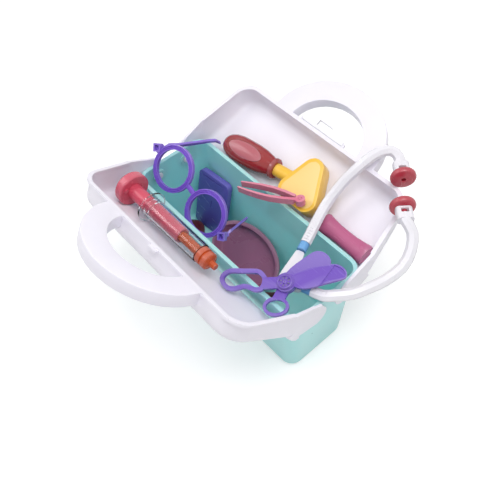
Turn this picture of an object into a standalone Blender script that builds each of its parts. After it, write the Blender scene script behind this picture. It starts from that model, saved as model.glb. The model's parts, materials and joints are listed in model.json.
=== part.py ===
"""Open toy doctor case: a deep tub, two lid trays hinged on its end walls, and its toy instruments.

Lengths are in metres and angles in radians. X runs along the case, towards the end with the
stethoscope. Y runs from the front lid to the rear lid. Z is up, from the middle of the tub's base.
"""
import math

import bmesh
import bpy
from mathutils import Matrix, Vector

# Gaps and mesh distances
TOUCH_GAP = 0.0003
WELD_DISTANCE = 0.00001

# Steps round curved shapes
ARC_STEPS = 5
PIN_SIDES = 16
PEG_SIDES = 24
RING_STEPS = 26
HANDLE_STEPS = 24
DISH_STEPS = 34

# Tub
TUB_LENGTH = 0.240
TUB_WIDTH = 0.090
TUB_HEIGHT = 0.1106
TUB_TAPER = 0.0088
TUB_WALL = 0.0022
TUB_CORNER = 0.014
TUB_FLOOR_ROUND = 0.006
LIP_OVERHANG = 0.0015
LIP_WIDTH = 0.004
LIP_HEIGHT = 0.0035

# Lid hinges: pegs on the ears of the lids turn in bores of the tub's end walls
HINGE_SPREAD = 0.0372
HINGE_DROP = 0.0147
PEG_RADIUS = 0.004
PEG_LENGTH = 0.0068
PEG_PLAY = 0.0003
BOSS_RADIUS = 0.0075
BOSS_LENGTH = 0.0055
EAR_PLAY = 0.0003
EAR_THICKNESS = 0.0018
EAR_INSET = 0.00005
EAR_RADIUS = 0.0125
EAR_ARC_START = math.radians(200.0)
EAR_ARC_END = math.radians(325.0)
EAR_OUTLINE_SHARES = ((-1.408, 2.40), (-1.408, 0.44), (1.288, 0.976), (1.408, 2.08), (1.312, 2.40))
FRONT_OPENING = math.radians(60.7)
REAR_OPENING = math.radians(66.7)

# Lid trays, measured from the hinge and from the plane where the closed lids meet
LID_RISE = 0.1047
LID_TOP_LENGTH = 0.2214
LID_TOP_DEPTH = 0.025
LID_FLOOR_DEPTH = 0.0335
LID_FLOOR_LOW = 0.040
SKIRT_DEPTH = 0.0474
SKIRT_GAP = 0.0006
SKIRT_SWEEP_END = math.radians(52.0)
SKIRT_BLEND_SHARES = ((1.08, 0.71), (1.042, 0.775), (1.012, 0.90))
SKIRT_FOLD_INDEX = 6
FACING_BACK = 0.5
FACING_UP = 0.3
LID_WALL = 0.0018
LID_CORNER = 0.020
LID_EDGE_ROUND = 0.008
EAR_TOP = 0.042
EAR_TOP_BACK = 0.031
RIM_WIDTH = 0.004
RIM_HEIGHT = 0.003
RIM_OVERHANG = 0.0012
MEETING_GAP = 0.0003

# Handles, one moulded on each lid
HANDLE_OUTER_HALF = 0.066
HANDLE_OUTER_RISE = 0.060
HANDLE_GRIP = 0.0225
HANDLE_THICKNESS = 0.0137
HANDLE_ROUND = 0.004
GUSSET_COUNT = 3
GUSSET_WIDTH = 0.0018
GUSSET_PITCH = 0.0042
GUSSET_HEIGHT = 0.0045

# Catch and latch
LATCH_LENGTH = 0.054
LATCH_CENTRE = -0.003
LATCH_HEIGHT = 0.012
LATCH_THICKNESS = 0.0030
LATCH_PIN_RADIUS = 0.0010
LATCH_LUG = 0.0022
LATCH_PLAY = 0.0003
LATCH_PIN_LENGTH = 0.0025
LATCH_DEPTH = 0.0018
LATCH_RISE = LID_RISE + RIM_OVERHANG + TOUCH_GAP + LATCH_THICKNESS / 2
LATCH_OUTLINE_SHARES = ((-1.0, -0.07), (1.0, -0.07), (1.0, 0.26), (0.33, 0.9), (-1.0, 0.9))
LATCH_WINDOW_SHARES = ((-0.37, 0.19), (0.63, 0.19), (0.63, 0.30), (0.24, 0.68), (-0.37, 0.68))
CATCH_X = 0.004
CATCH_LENGTH = 0.010
CATCH_HEIGHT = 0.0048
CATCH_THICKNESS = 0.0026
CATCH_SETBACK = 0.0008

# Syringe, lying along the front tray
BARREL_RADIUS = 0.0098
BARREL_WALL = 0.0014
BARREL_LENGTH = 0.077
BARREL_RING = 0.0010
FLANGE_RADIUS = 0.0158
FLANGE_THICKNESS = 0.0024
PLUNGER_RADIUS = 0.0080
PLUNGER_BORE = 0.0058
PLUNGER_BORE_DEPTH = 0.068
PLUNGER_LENGTH = 0.076
PAD_RADIUS = 0.0174
PAD_THICKNESS = 0.0115
PAD_ROUND = 0.0035
PAD_BUMP = 0.0022
PAD_BUMP_OUT = 0.011
PAD_BUMP_HEIGHT = 0.0012
NOZZLE_RADIUS = 0.0088
NOZZLE_LENGTH = 0.0130
NOZZLE_CHAMFER = 0.0012
NOZZLE_TIP_RADIUS = 0.0036
NOZZLE_TIP_LENGTH = 0.0075
PLUG_LENGTH = 0.0018
ROD_RADIUS = 0.0052
ROD_LENGTH = 0.053
SYRINGE_MOUTH_X = -0.0615
SYRINGE_RISE = 0.0585
SYRINGE_OUT = 0.0265

# Reflex hammer, in the rear tray
GRIP_LENGTH = 0.068
GRIP_WIDTH = 0.0290
GRIP_THICKNESS = 0.0230
GRIP_PROFILE_SHARES = ((0.0, 0.0), (0.0, 0.30), (0.025, 0.52), (0.08, 0.74), (0.17, 0.91), (0.30, 1.0),
                       (0.46, 1.0), (0.62, 0.98), (0.78, 0.90), (0.90, 0.76), (1.0, 0.62), (1.0, 0.0))
COLLAR_RADIUS = 0.0112
COLLAR_THICKNESS = 0.0050
COLLAR_EDGE = 0.0012
SPIGOT_RADIUS = 0.0045
SPIGOT_LENGTH = 0.006
INLAY_LENGTH = 0.044
INLAY_WIDTH = 0.0170
INLAY_START = 0.011
INLAY_LEVEL = 0.0082
NECK_RADIUS = 0.0070
HEAD_CENTRE_OUT = 0.112
HEAD_LENGTH = 0.056
HEAD_THICKNESS = 0.0205
HEAD_CORNER_SHARES = ((-0.52, -0.36), (0.53, -0.50), (0.0, 0.84))
HEAD_ROUND = 0.0115
HEAD_EDGE = 0.003
HAMMER_X = -0.0930
HAMMER_RISE = 0.0445
HAMMER_TURN = math.radians(7.5)

# Bandage roll in the rear tray
ROLL_LENGTH = 0.056
ROLL_WIDTH = 0.0215
ROLL_THICKNESS = 0.0150
ROLL_PROFILE_SHARES = ((-0.5, 0.0), (-0.5, 0.94), (-0.46, 1.0), (-0.36, 0.90), (-0.18, 0.80), (0.0, 0.78),
                       (0.18, 0.80), (0.36, 0.90), (0.46, 1.0), (0.5, 0.94), (0.5, 0.0))
ROLL_X = 0.0825
ROLL_RISE = 0.0420

# Glasses, lying across the far end of the tub
LENS_RING_RADIUS = 0.0250
LENS_RING_BAND = 0.0050
LENS_RING_THICKNESS = 0.0042
LENS_SPACING = 0.0594
GROOVE_WIDTH = 0.0009
GROOVE_DEPTH = 0.0008
BRIDGE_WIDTH = 0.0050
BRIDGE_RISE = 0.0020
HINGE_BLOCK = 0.0088
HINGE_SOCKET = 0.0050
HINGE_BLOCK_OUT = 0.0295
HINGE_BLOCK_DEPTH = 0.0050
CHEEK_GAP = 0.0030
CHEEK_THICKNESS = 0.0014
CHEEK_LENGTH = 0.0093
CHEEK_WIDTH = 0.0058
CHEEK_SETBACK = 0.0035
HINGE_PIN_RADIUS = 0.0009
HINGE_PIN_PLAY = 0.0003
LEFT_TEMPLE_LENGTH = 0.066
RIGHT_TEMPLE_LENGTH = 0.058
TEMPLE_THICKNESS = 0.0024
TEMPLE_PLACE_SHARES = (0.06, 0.12, 0.30, 0.78, 0.90, 1.0)
TEMPLE_HALF_WIDTHS = (0.0012, 0.0052, 0.0026, 0.0020, 0.0019, 0.0014)
TEMPLE_DROP_SHARES = (0.0, 0.0, 0.0, 0.0, 0.12, 1.0)
TEMPLE_BEND = 0.0070
TEMPLE_KNUCKLE = 0.0017
TEMPLE_NECK = 0.0022
GLASSES_PLACE = (-0.0655, -0.0152, 0.1098)
GLASSES_ACROSS = (0.950, -0.088, -0.298)
GLASSES_UP = (0.278, 0.669, 0.689)
LEFT_LEAN = math.radians(42.0)
RIGHT_LEAN = math.radians(10.0)
LEFT_FOLD = math.radians(20.0)
RIGHT_FOLD = math.radians(14.0)

# Tweezers, lying with the knuckle on the hammer's head and the arms across the tub's rear rim
TWEEZER_LENGTH = 0.068
TWEEZER_HEIGHT = 0.0070
TWEEZER_THICKNESS = 0.0032
TWEEZER_SPREAD = 0.0155
TWEEZER_KNUCKLE = 0.0050
TWEEZER_PIN_RADIUS = 0.0016
TWEEZER_LINK_LENGTH = 0.0068
TWEEZER_LINK_PLACE = (0.0041, 0.0021)
TWEEZER_ARC_SHARES = ((0.085, 0.28), (0.25, 0.58), (0.45, 0.80), (0.65, 0.80), (0.85, 0.66), (1.0, 0.50))
TWEEZER_TAPER = (1.0, 1.0, 0.9, 0.8, 0.65, 0.45)
TWEEZER_PLACE = (0.0307, 0.0492, 0.1223)
TWEEZER_TURN = math.radians(201.0)
TWEEZER_PITCH = math.radians(10.2)

# Stethoscope: two bent arms from a yoke, with ear tips held in forks
ARM_RADIUS = 0.0055
ARM_STEPS = 2
ARM_SLOT_COUNT = 5
ARM_SLOT_WIDTH = 0.0012
ARM_SLOT_PITCH = 0.0031
ARM_SLOT_DEPTH = 0.0012
ARM_SLOT_START = 0.0022
SLEEVE_RADIUS = 0.0048
SLEEVE_LENGTH = 0.0085
FORK_LENGTH = 0.0130
FORK_WIDTH = 0.0150
FORK_THICKNESS = 0.0100
FORK_SLOT = 0.0044
FORK_SLOT_LENGTH = 0.0070
EAR_TIP_RADIUS = 0.0120
EAR_TIP_THICKNESS = 0.0065
EAR_TIP_ROUND = 0.0022
EAR_TIP_BORE = 0.0022
EAR_TIP_BORE_DEPTH = 0.0030
SHANK_RADIUS = 0.0030
SHANK_LENGTH = 0.0060
UPPER_ARM_ROUTE = (
    (0.0652, 0.0215, 0.1160), (0.0618, 0.0308, 0.1175), (0.0532, 0.0534, 0.1220),
    (0.0499, 0.0709, 0.1310), (0.0523, 0.0875, 0.1466), (0.0588, 0.1045, 0.1635), (0.0632, 0.1168, 0.1697),
    (0.0700, 0.1262, 0.1705), (0.0780, 0.1272, 0.1685))
LOWER_ARM_ROUTE = (
    (0.1070, -0.0112, 0.1150), (0.1174, -0.0082, 0.1168), (0.1260, -0.0004, 0.1190),
    (0.1354, 0.0098, 0.1215), (0.1424, 0.0224, 0.1260), (0.1491, 0.0351, 0.1330), (0.1524, 0.0519, 0.1400),
    (0.1483, 0.0664, 0.1480), (0.1400, 0.0760, 0.1560))
UPPER_TIP_PLACE = (0.0969, 0.1123, 0.1660)
UPPER_TIP_WAY = (0.75, -0.66, 0.0)
LOWER_TIP_PLACE = (0.1168, 0.0890, 0.1615)
LOWER_TIP_WAY = (-0.76, 0.65, 0.0)
YOKE_PLACE = (0.0840, -0.0160, 0.1130)
YOKE_OUTLINE_SHARES = ((-1.95, 2.72), (-1.16, 2.99), (-0.62, 1.90), (0.50, 0.80), (1.27, 0.62),
                       (1.51, -0.18), (0.90, -0.75), (0.0, -1.10), (-0.95, -0.60), (-1.20, 0.10))
YOKE_SIZE = 0.0100
YOKE_THICKNESS = 0.0050
YOKE_ROUND = 0.0025
YOKE_EDGE = 0.0008
STUB_RADIUS = 0.0038
STUB_LENGTH = 0.0033
STUB_X = -0.0010
STUB_Y = -0.0030

# Hose and chest piece
HOSE_RADIUS = 0.0033
HOSE_STEPS = 5
HOSE_ROUTE = (
    (0.0830, -0.0190, 0.1072), (0.0825, -0.0193, 0.1000), (0.0790, -0.0212, 0.0900),
    (0.0700, -0.0255, 0.0790), (0.0540, -0.0305, 0.0690), (0.0300, -0.0330, 0.0580),
    (0.0000, -0.0325, 0.0430), (-0.0300, -0.0310, 0.0250), (-0.0520, -0.0260, 0.0130),
    (-0.0628, -0.0166, 0.0073), (-0.0720, -0.0120, 0.0070),
)
CHEST_PLACE = (-0.0925, -0.0020, 0.0070)
CHEST_TURN = math.radians(-26.0)
CHEST_RADIUS = 0.0150
CHEST_THICKNESS = 0.0090
CHEST_ROUND = 0.0016
CHEST_CROWN_RADIUS = 0.0082
CHEST_STEM_RADIUS = 0.0036
CHEST_STEM_LENGTH = 0.0075

# Scissors, lying on the yoke and the front rim
SCISSOR_THICKNESS = 0.0032
SCISSOR_GAP = 0.0003
SCISSOR_SIZE = 0.046
SCISSOR_HUB_RADIUS = 0.0092
SCISSOR_BAR = 0.0042
SCISSOR_SHANK = 0.0110
SCISSOR_PLACE = (0.0877, -0.0252, 0.1211)
SCISSOR_TILT = math.radians(15.0)
SCISSOR_PIN_RADIUS = 0.0030
SCISSOR_CAP_RADIUS = 0.0075
SCISSOR_CAP_HEIGHT = 0.0018
SCISSOR_FOOT_RADIUS = 0.0045
SCISSOR_FOOT_HEIGHT = 0.0009
SCISSOR_SLOTS = 5
SCISSOR_SLOT_LENGTH = 0.0032
SCISSOR_SLOT_WIDTH = 0.0014
SCISSOR_SLOT_PLACE = 0.0041
BLADE_POCKET = 0.0009
BLADE_RIM = 0.0018
LOOP_BLADE_SHARES = (
    (0.06, 0.02), (0.02, 0.20), (0.05, 0.38), (0.24, 0.66), (0.42, 0.88), (0.56, 0.955), (0.71, 0.945),
    (0.79, 0.86), (0.77, 0.77), (0.60, 0.50), (0.43, 0.22), (0.28, 0.08))
RING_BLADE_SHARES = (
    (-0.12, 0.04), (-0.17, 0.28), (-0.13, 0.56), (-0.08, 0.82), (0.0, 0.925), (0.12, 0.97), (0.26, 0.955),
    (0.37, 0.85), (0.34, 0.60), (0.24, 0.30), (0.14, 0.06))
LOOP_SHARES = (
    (-0.36, -0.175), (-0.50, -0.150), (-0.62, -0.180), (-0.85, -0.375), (-1.045, -0.545), (-1.098, -0.70),
    (-1.055, -0.830), (-0.926, -0.900), (-0.760, -0.900), (-0.625, -0.800), (-0.535, -0.650),
    (-0.43, -0.595),
    (-0.330, -0.560), (-0.239, -0.474), (-0.225, -0.380), (-0.27, -0.27))
LOOP_SHANK_SHARE = (-0.30, -0.30)
RING_PLACE_SHARES = (0.185, -0.472)
RING_SHANK_SHARE = (0.12, -0.35)
RING_HALF_LENGTH = 0.0119
RING_HALF_WIDTH = 0.0092
RING_BAR = 0.0029
RING_TURN = math.radians(42.0)

# Dish
DISH_LENGTH = 0.098
DISH_WIDTH = 0.064
DISH_DEPTH = 0.011
DISH_WALL = 0.0018
DISH_RIM = 0.0045
DISH_FLOOR_SHARE = 0.80
DISH_FLOOR_ROUND = 0.0022
DISH_PLACE = (-0.0125, 0.0104, 0.0274)
DISH_TILT = math.radians(38.0)

# Card case leaning at the far end of the tub
CARD_WIDTH = 0.045
CARD_HEIGHT = 0.078
CARD_THICKNESS = 0.0070
CARD_CORNER = 0.006
CARD_EDGE = 0.0012
CARD_GROOVE = 0.0009
CARD_GROOVE_DROP = 0.0045
CARD_SLIT_LENGTH = 0.0095
CARD_SLIT_WIDTH = 0.0014
CARD_PLACE = (-0.0830, 0.0181, 0.0033)
CARD_LEAN = math.radians(12.0)
CARD_TURN = math.radians(5.0)


def clear_scene():
    """Remove whatever the open file holds."""
    for leftover in list(bpy.data.objects):
        bpy.data.objects.remove(leftover, do_unlink=True)


def open_collection(name):
    """Make a collection for the parts and link it to the scene."""
    group = bpy.data.collections.new(name)
    bpy.context.scene.collection.children.link(group)
    return group


def plastic(name, colour, roughness, see_through=0.0):
    """Moulded plastic of one colour."""
    material = bpy.data.materials.new(name)
    material.use_nodes = True
    shader = material.node_tree.nodes["Principled BSDF"]
    shader.inputs["Base Color"].default_value = (*colour, 1.0)
    shader.inputs["Roughness"].default_value = roughness
    shader.inputs["Metallic"].default_value = 0.0
    shader.inputs["Transmission Weight"].default_value = see_through
    material.diffuse_color = (*colour, 1.0)
    return material


def mesh_part(name, work):
    """Turn a bmesh into an object in the case's collection."""
    mesh = bpy.data.meshes.new(name)
    work.to_mesh(mesh)
    work.free()
    part = bpy.data.objects.new(name, mesh)
    case.objects.link(part)
    return part


def settle(part):
    """Work the modifiers or the curve out, weld the seams and face the surface outwards."""
    graph = bpy.context.evaluated_depsgraph_get()
    mesh = bpy.data.meshes.new_from_object(part.evaluated_get(graph))
    work = bmesh.new()
    work.from_mesh(mesh)
    bmesh.ops.remove_doubles(work, verts=work.verts, dist=WELD_DISTANCE)
    bmesh.ops.dissolve_degenerate(work, edges=work.edges, dist=WELD_DISTANCE)
    bmesh.ops.recalc_face_normals(work, faces=work.faces)
    if work.calc_volume(signed=True) < 0:
        bmesh.ops.reverse_faces(work, faces=work.faces)
    work.to_mesh(mesh)
    work.free()
    solid = bpy.data.objects.new(part.name, mesh)
    name = part.name
    solid.matrix_world = part.matrix_world.copy()
    bpy.data.objects.remove(part, do_unlink=True)
    solid.name = name
    case.objects.link(solid)
    return solid


def combine(part, other, operation):
    """Join, cut or trim a part with another solid, which is used up."""
    change = part.modifiers.new("combine", "BOOLEAN")
    change.operation = operation
    change.object = other
    change.solver = "EXACT"
    result = settle(part)
    bpy.data.objects.remove(other, do_unlink=True)
    return result


def join_all(parts):
    """Unite several touching solids into one body."""
    whole = parts[0]
    for other in parts[1:]:
        whole = combine(whole, other, "UNION")
    return whole


def soften(part, width, segments=2, angle=math.radians(35)):
    """Round the sharp edges of a part."""
    bevel = part.modifiers.new("soften", "BEVEL")
    bevel.width = width
    bevel.segments = segments
    bevel.limit_method = "ANGLE"
    bevel.angle_limit = angle
    bevel.use_clamp_overlap = True
    return settle(part)


def moved(part, matrix):
    """Shift or turn the mesh itself, so that the part's origin stays where it is."""
    part.data.transform(matrix)
    if matrix.determinant() < 0:
        part.data.flip_normals()
    return part


def shift(x=0.0, y=0.0, z=0.0):
    return Matrix.Translation((x, y, z))


def turn(angle, axis):
    return Matrix.Rotation(angle, 4, axis)


def carrier(name, place, rotation=None, parent=None):
    """Empty that carries the pieces of one body at its place."""
    empty = bpy.data.objects.new(name, None)
    empty.empty_display_size = 0.01
    case.objects.link(empty)
    empty.parent = parent
    matrix = Matrix.Translation(place)
    if rotation is not None:
        matrix = matrix @ rotation.to_4x4()
    empty.matrix_local = matrix
    return empty


def finish(part, name, material, parent=None, sharp=math.radians(32)):
    """Name a finished part, give it its material and carrier, and shade it."""
    part.name = name
    part.data.name = name
    part.data.materials.clear()
    part.data.materials.append(material)
    part.data.shade_smooth()
    part.data.set_sharp_from_angle(angle=sharp)
    part.parent = parent
    return part


def block(name, size_x, size_y, size_z, centre=(0.0, 0.0, 0.0)):
    """Box of given sizes about a centre."""
    work = bmesh.new()
    bmesh.ops.create_cube(work, size=1.0)
    bmesh.ops.scale(work, vec=(size_x, size_y, size_z), verts=work.verts)
    bmesh.ops.translate(work, vec=centre, verts=work.verts)
    return mesh_part(name, work)


def rod(name, radius, length, centre=(0.0, 0.0, 0.0), axis="Z", sides=PEG_SIDES):
    """Round bar about a centre and along an axis."""
    work = bmesh.new()
    bmesh.ops.create_cone(work, cap_ends=True, segments=sides, radius1=radius, radius2=radius, depth=length)
    if axis == "X":
        bmesh.ops.rotate(work, matrix=Matrix.Rotation(math.pi / 2, 3, "Y"), verts=work.verts)
    bmesh.ops.translate(work, vec=centre, verts=work.verts)
    return mesh_part(name, work)


def turned(name, profile, steps, closed=False):
    """Solid of revolution about Z from (radius, height) points down its outer side."""
    work = bmesh.new()
    points = [work.verts.new((radius, 0.0, height)) for radius, height in profile]
    for first, second in zip(points, points[1:]):
        work.edges.new((first, second))
    if closed:
        work.edges.new((points[-1], points[0]))
    part = mesh_part(name, work)
    screw = part.modifiers.new("turn", "SCREW")
    screw.steps = steps
    screw.render_steps = steps
    screw.use_merge_vertices = True
    screw.merge_threshold = WELD_DISTANCE
    return settle(part)


def plate(name, loops, thickness):
    """Flat solid from closed outlines, centred on the plane z = 0; inner outlines are holes."""
    curve = bpy.data.curves.new(name, "CURVE")
    curve.dimensions = "2D"
    curve.fill_mode = "BOTH"
    curve.extrude = thickness / 2
    for loop in loops:
        spline = curve.splines.new("POLY")
        spline.points.add(len(loop) - 1)
        for point, (x, y) in zip(spline.points, loop):
            point.co = (x, y, 0.0, 1.0)
        spline.use_cyclic_u = True
    part = bpy.data.objects.new(name, curve)
    case.objects.link(part)
    return settle(part)


def tube(name, points, radius):
    """Round tube along a path, with flat ends."""
    curve = bpy.data.curves.new(name, "CURVE")
    curve.dimensions = "3D"
    curve.bevel_depth = radius
    curve.bevel_resolution = 2
    curve.use_fill_caps = True
    curve.twist_mode = "MINIMUM"
    spline = curve.splines.new("POLY")
    spline.points.add(len(points) - 1)
    for point, place in zip(spline.points, points):
        point.co = (*place, 1.0)
    part = bpy.data.objects.new(name, curve)
    case.objects.link(part)
    return settle(part)


def smooth_path(points, steps):
    """Catmull-Rom curve through the points, with a number of steps per stretch."""
    path = []
    count = len(points)
    for index in range(count - 1):
        before = Vector(points[max(index - 1, 0)])
        start = Vector(points[index])
        end = Vector(points[index + 1])
        after = Vector(points[min(index + 2, count - 1)])
        for step in range(steps):
            t = step / steps
            path.append(0.5 * (2 * start + (end - before) * t
                               + (2 * before - 5 * start + 4 * end - after) * t * t
                               + (3 * start - before - 3 * end + after) * t * t * t))
    path.append(Vector(points[-1]))
    return [tuple(place) for place in path]


def rounded(corners, steps=ARC_STEPS):
    """Closed outline through corners given as (x, y, fillet radius)."""
    outline = []
    count = len(corners)
    for index, (x, y, radius) in enumerate(corners):
        here = Vector((x, y))
        before = Vector(corners[index - 1][:2])
        after = Vector(corners[(index + 1) % count][:2])
        to_before = (before - here).normalized()
        to_after = (after - here).normalized()
        half_angle = to_before.angle(to_after) / 2
        reach = min((before - here).length, (after - here).length) / 2
        run = min(radius / math.tan(half_angle), reach) if radius > 0 else 0.0
        if run < WELD_DISTANCE:
            outline.append((x, y))
            continue
        fillet = run * math.tan(half_angle)
        start = here + to_before * run
        end = here + to_after * run
        centre = here + (to_before + to_after).normalized() * (fillet / math.sin(half_angle))
        first = math.atan2(start.y - centre.y, start.x - centre.x)
        sweep = math.atan2(end.y - centre.y, end.x - centre.x) - first
        sweep = (sweep + math.pi) % (2 * math.pi) - math.pi
        for step in range(steps + 1):
            angle = first + sweep * step / steps
            outline.append((centre.x + fillet * math.cos(angle), centre.y + fillet * math.sin(angle)))
    return outline


def rectangle(half_x, half_y, radius, centre=(0.0, 0.0), steps=ARC_STEPS):
    """Outline of a rectangle with round corners."""
    x, y = centre
    return rounded(((x + half_x, y + half_y, radius), (x - half_x, y + half_y, radius),
                    (x - half_x, y - half_y, radius), (x + half_x, y - half_y, radius)), steps)


def ellipse(half_x, half_y, centre=(0.0, 0.0), steps=RING_STEPS):
    """Points round an ellipse."""
    return [(centre[0] + half_x * math.cos(2 * math.pi * step / steps),
             centre[1] + half_y * math.sin(2 * math.pi * step / steps)) for step in range(steps)]


def arch(half_x, half_y, base, steps):
    """Points over the upper half of an ellipse that stands on a level."""
    return [(half_x * math.cos(math.pi * step / steps), base + half_y * math.sin(math.pi * step / steps))
            for step in range(steps + 1)]


def scaled(shares, *sizes):
    """Places written as shares of the sizes that they follow."""
    return [tuple(share * size for share, size in zip(entry, sizes)) for entry in shares]


def tub_shell():
    """Deep tub with sloping walls, a lip round the rim and bosses bored for the lids' pegs."""
    shell_height = TUB_HEIGHT - TOUCH_GAP
    work = bmesh.new()
    bmesh.ops.create_cube(work, size=1.0)
    for corner in work.verts:
        slope = 0.0 if corner.co.z > 0 else TUB_TAPER / 2
        half_length = TUB_LENGTH / 2 - LIP_OVERHANG - slope
        half_width = TUB_WIDTH / 2 - LIP_OVERHANG - slope
        corner.co.x = math.copysign(half_length, corner.co.x)
        corner.co.y = math.copysign(half_width, corner.co.y)
        corner.co.z = shell_height if corner.co.z > 0 else 0.0
    upright = [edge for edge in work.edges if abs(edge.verts[0].co.z - edge.verts[1].co.z) > shell_height / 2]
    bmesh.ops.bevel(work, geom=upright, offset=TUB_CORNER, segments=5, profile=0.5, affect="EDGES")
    low = [edge for edge in work.edges if max(corner.co.z for corner in edge.verts) < WELD_DISTANCE]
    bmesh.ops.bevel(work, geom=low, offset=TUB_FLOOR_ROUND, segments=3, profile=0.5, affect="EDGES")
    top = [face for face in work.faces if min(corner.co.z for corner in face.verts) > shell_height / 2]
    bmesh.ops.delete(work, geom=top, context="FACES")
    shell = mesh_part("tub", work)
    walls = shell.modifiers.new("walls", "SOLIDIFY")
    walls.thickness = TUB_WALL
    walls.offset = -1
    walls.use_even_offset = True
    shell = settle(shell)
    outer = rectangle(TUB_LENGTH / 2, TUB_WIDTH / 2, TUB_CORNER + LIP_OVERHANG)
    inner = rectangle(TUB_LENGTH / 2 - LIP_WIDTH, TUB_WIDTH / 2 - LIP_WIDTH,
                      TUB_CORNER + LIP_OVERHANG - LIP_WIDTH)
    lip = plate("lip", [outer, inner], LIP_HEIGHT)
    shell = combine(shell, moved(lip, shift(z=TUB_HEIGHT - LIP_HEIGHT / 2)), "UNION")
    hinge_height = TUB_HEIGHT - HINGE_DROP
    for end in (-1, 1):
        for side in (-1, 1):
            centre = (end * (TUB_LENGTH / 2 - BOSS_LENGTH / 2), side * HINGE_SPREAD / 2, hinge_height)
            shell = combine(shell, rod("boss", BOSS_RADIUS, BOSS_LENGTH, centre, "X"), "UNION")
    for end in (-1, 1):
        for side in (-1, 1):
            centre = (end * TUB_LENGTH / 2, side * HINGE_SPREAD / 2, hinge_height)
            bore = rod("bore", PEG_RADIUS + PEG_PLAY, 3 * BOSS_LENGTH, centre, "X")
            shell = combine(shell, bore, "DIFFERENCE")
    return shell


# Lids are modelled as the rear one: y runs outwards from the hinge, z up from it when closed
PIVOT = HINGE_SPREAD / 2
SKIRT_LOW = HINGE_DROP + SKIRT_GAP
EAR_INNER = TUB_LENGTH / 2 + EAR_PLAY
EAR_OUTER = EAR_INNER + EAR_THICKNESS
END_LEAN = (EAR_OUTER - LID_TOP_LENGTH / 2) / (LID_RISE - EAR_TOP)


def lid_half_length(depth, rise):
    """Outer half length of a lid; its ends are upright up to a slanting fold and lean in above it."""
    fold = EAR_TOP + (EAR_TOP_BACK - EAR_TOP) * depth / LID_FLOOR_DEPTH
    return EAR_OUTER - END_LEAN * max(0.0, rise - fold)


def lid_profile():
    """Long wall's outer side in (depth, rise): a skirt swept about the hinge, then the tray floor."""
    reach = math.hypot(SKIRT_DEPTH - PIVOT, SKIRT_LOW)
    first = math.atan2(SKIRT_LOW, SKIRT_DEPTH - PIVOT)
    angles = [first + (SKIRT_SWEEP_END - first) * step / 4 for step in range(5)]
    sweep = [(PIVOT + reach * math.cos(angle), reach * math.sin(angle)) for angle in angles]
    blend = scaled(SKIRT_BLEND_SHARES, LID_FLOOR_DEPTH, LID_FLOOR_LOW)
    return sweep + blend + [(LID_FLOOR_DEPTH, LID_FLOOR_LOW), (LID_TOP_DEPTH, LID_RISE)]


def lid_shell():
    """Open tray with a rounded top, cut from one bent sheet."""
    profile = lid_profile()
    front = [(MEETING_GAP, LID_RISE), (MEETING_GAP, EAR_TOP), (MEETING_GAP, SKIRT_LOW)]
    work = bmesh.new()
    sides = {}
    for end in (-1, 1):
        sides[end] = [work.verts.new((end * lid_half_length(depth, rise), depth - PIVOT, rise))
                      for depth, rise in profile + front]
    count = len(profile)
    for index in range(count):
        work.faces.new((sides[-1][index], sides[1][index], sides[1][index + 1], sides[-1][index + 1]))
    for end in (-1, 1):
        ring = sides[end]
        work.faces.new(ring[:SKIRT_FOLD_INDEX + 1] + ring[count + 1:])
        work.faces.new(ring[SKIRT_FOLD_INDEX:count + 2])
    bmesh.ops.recalc_face_normals(work, faces=work.faces)
    top_level = LID_RISE - WELD_DISTANCE
    corners = [edge for edge in work.edges if all(corner.co.z > top_level for corner in edge.verts)
               and abs(edge.verts[0].co.x - edge.verts[1].co.x) < LID_CORNER
               and abs(edge.verts[0].co.y - edge.verts[1].co.y) > LID_CORNER / 2]
    bmesh.ops.bevel(work, geom=corners, offset=LID_CORNER, segments=6, profile=0.5, affect="EDGES")
    long_edges = []
    for edge in work.edges:
        if len(edge.link_faces) == 2:
            first, second = (face.normal.y for face in edge.link_faces)
            if max(first, second) > FACING_BACK and min(first, second) < FACING_UP:
                long_edges.append(edge)
    bmesh.ops.bevel(work, geom=long_edges, offset=LID_EDGE_ROUND, segments=3, profile=0.5, affect="EDGES")
    bmesh.ops.remove_doubles(work, verts=work.verts, dist=WELD_DISTANCE)
    bmesh.ops.recalc_face_normals(work, faces=work.faces)
    middle = [face for face in work.faces if abs(face.calc_center_median().x) < LID_CORNER]
    if sum(face.normal.y for face in middle) < 0:
        bmesh.ops.reverse_faces(work, faces=work.faces)
    shell = mesh_part("lid", work)
    walls = shell.modifiers.new("walls", "SOLIDIFY")
    walls.thickness = LID_WALL
    walls.offset = -1
    walls.use_even_offset = True
    return settle(shell)


def lid_rim():
    """Band round the tray's opening, above the fold of the ends."""
    top = LID_RISE + RIM_OVERHANG
    inside = RIM_WIDTH - RIM_OVERHANG
    low_half = lid_half_length(0.0, EAR_TOP)
    high_half = lid_half_length(0.0, top)
    inner_half = lid_half_length(0.0, LID_RISE - inside)
    outline = rounded((
        (-low_half - RIM_OVERHANG, EAR_TOP, 0.0),
        (-high_half - RIM_OVERHANG, top, LID_CORNER + RIM_OVERHANG),
        (high_half + RIM_OVERHANG, top, LID_CORNER + RIM_OVERHANG), (low_half + RIM_OVERHANG, EAR_TOP, 0.0),
        (low_half - inside, EAR_TOP, 0.0), (inner_half - inside, LID_RISE - inside, LID_CORNER - inside),
        (inside - inner_half, LID_RISE - inside, LID_CORNER - inside), (inside - low_half, EAR_TOP, 0.0)), 6)
    rim = plate("rim", [outline], RIM_HEIGHT)
    return moved(rim, shift(y=MEETING_GAP + RIM_HEIGHT / 2 - PIVOT) @ turn(math.pi / 2, "X"))


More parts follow.
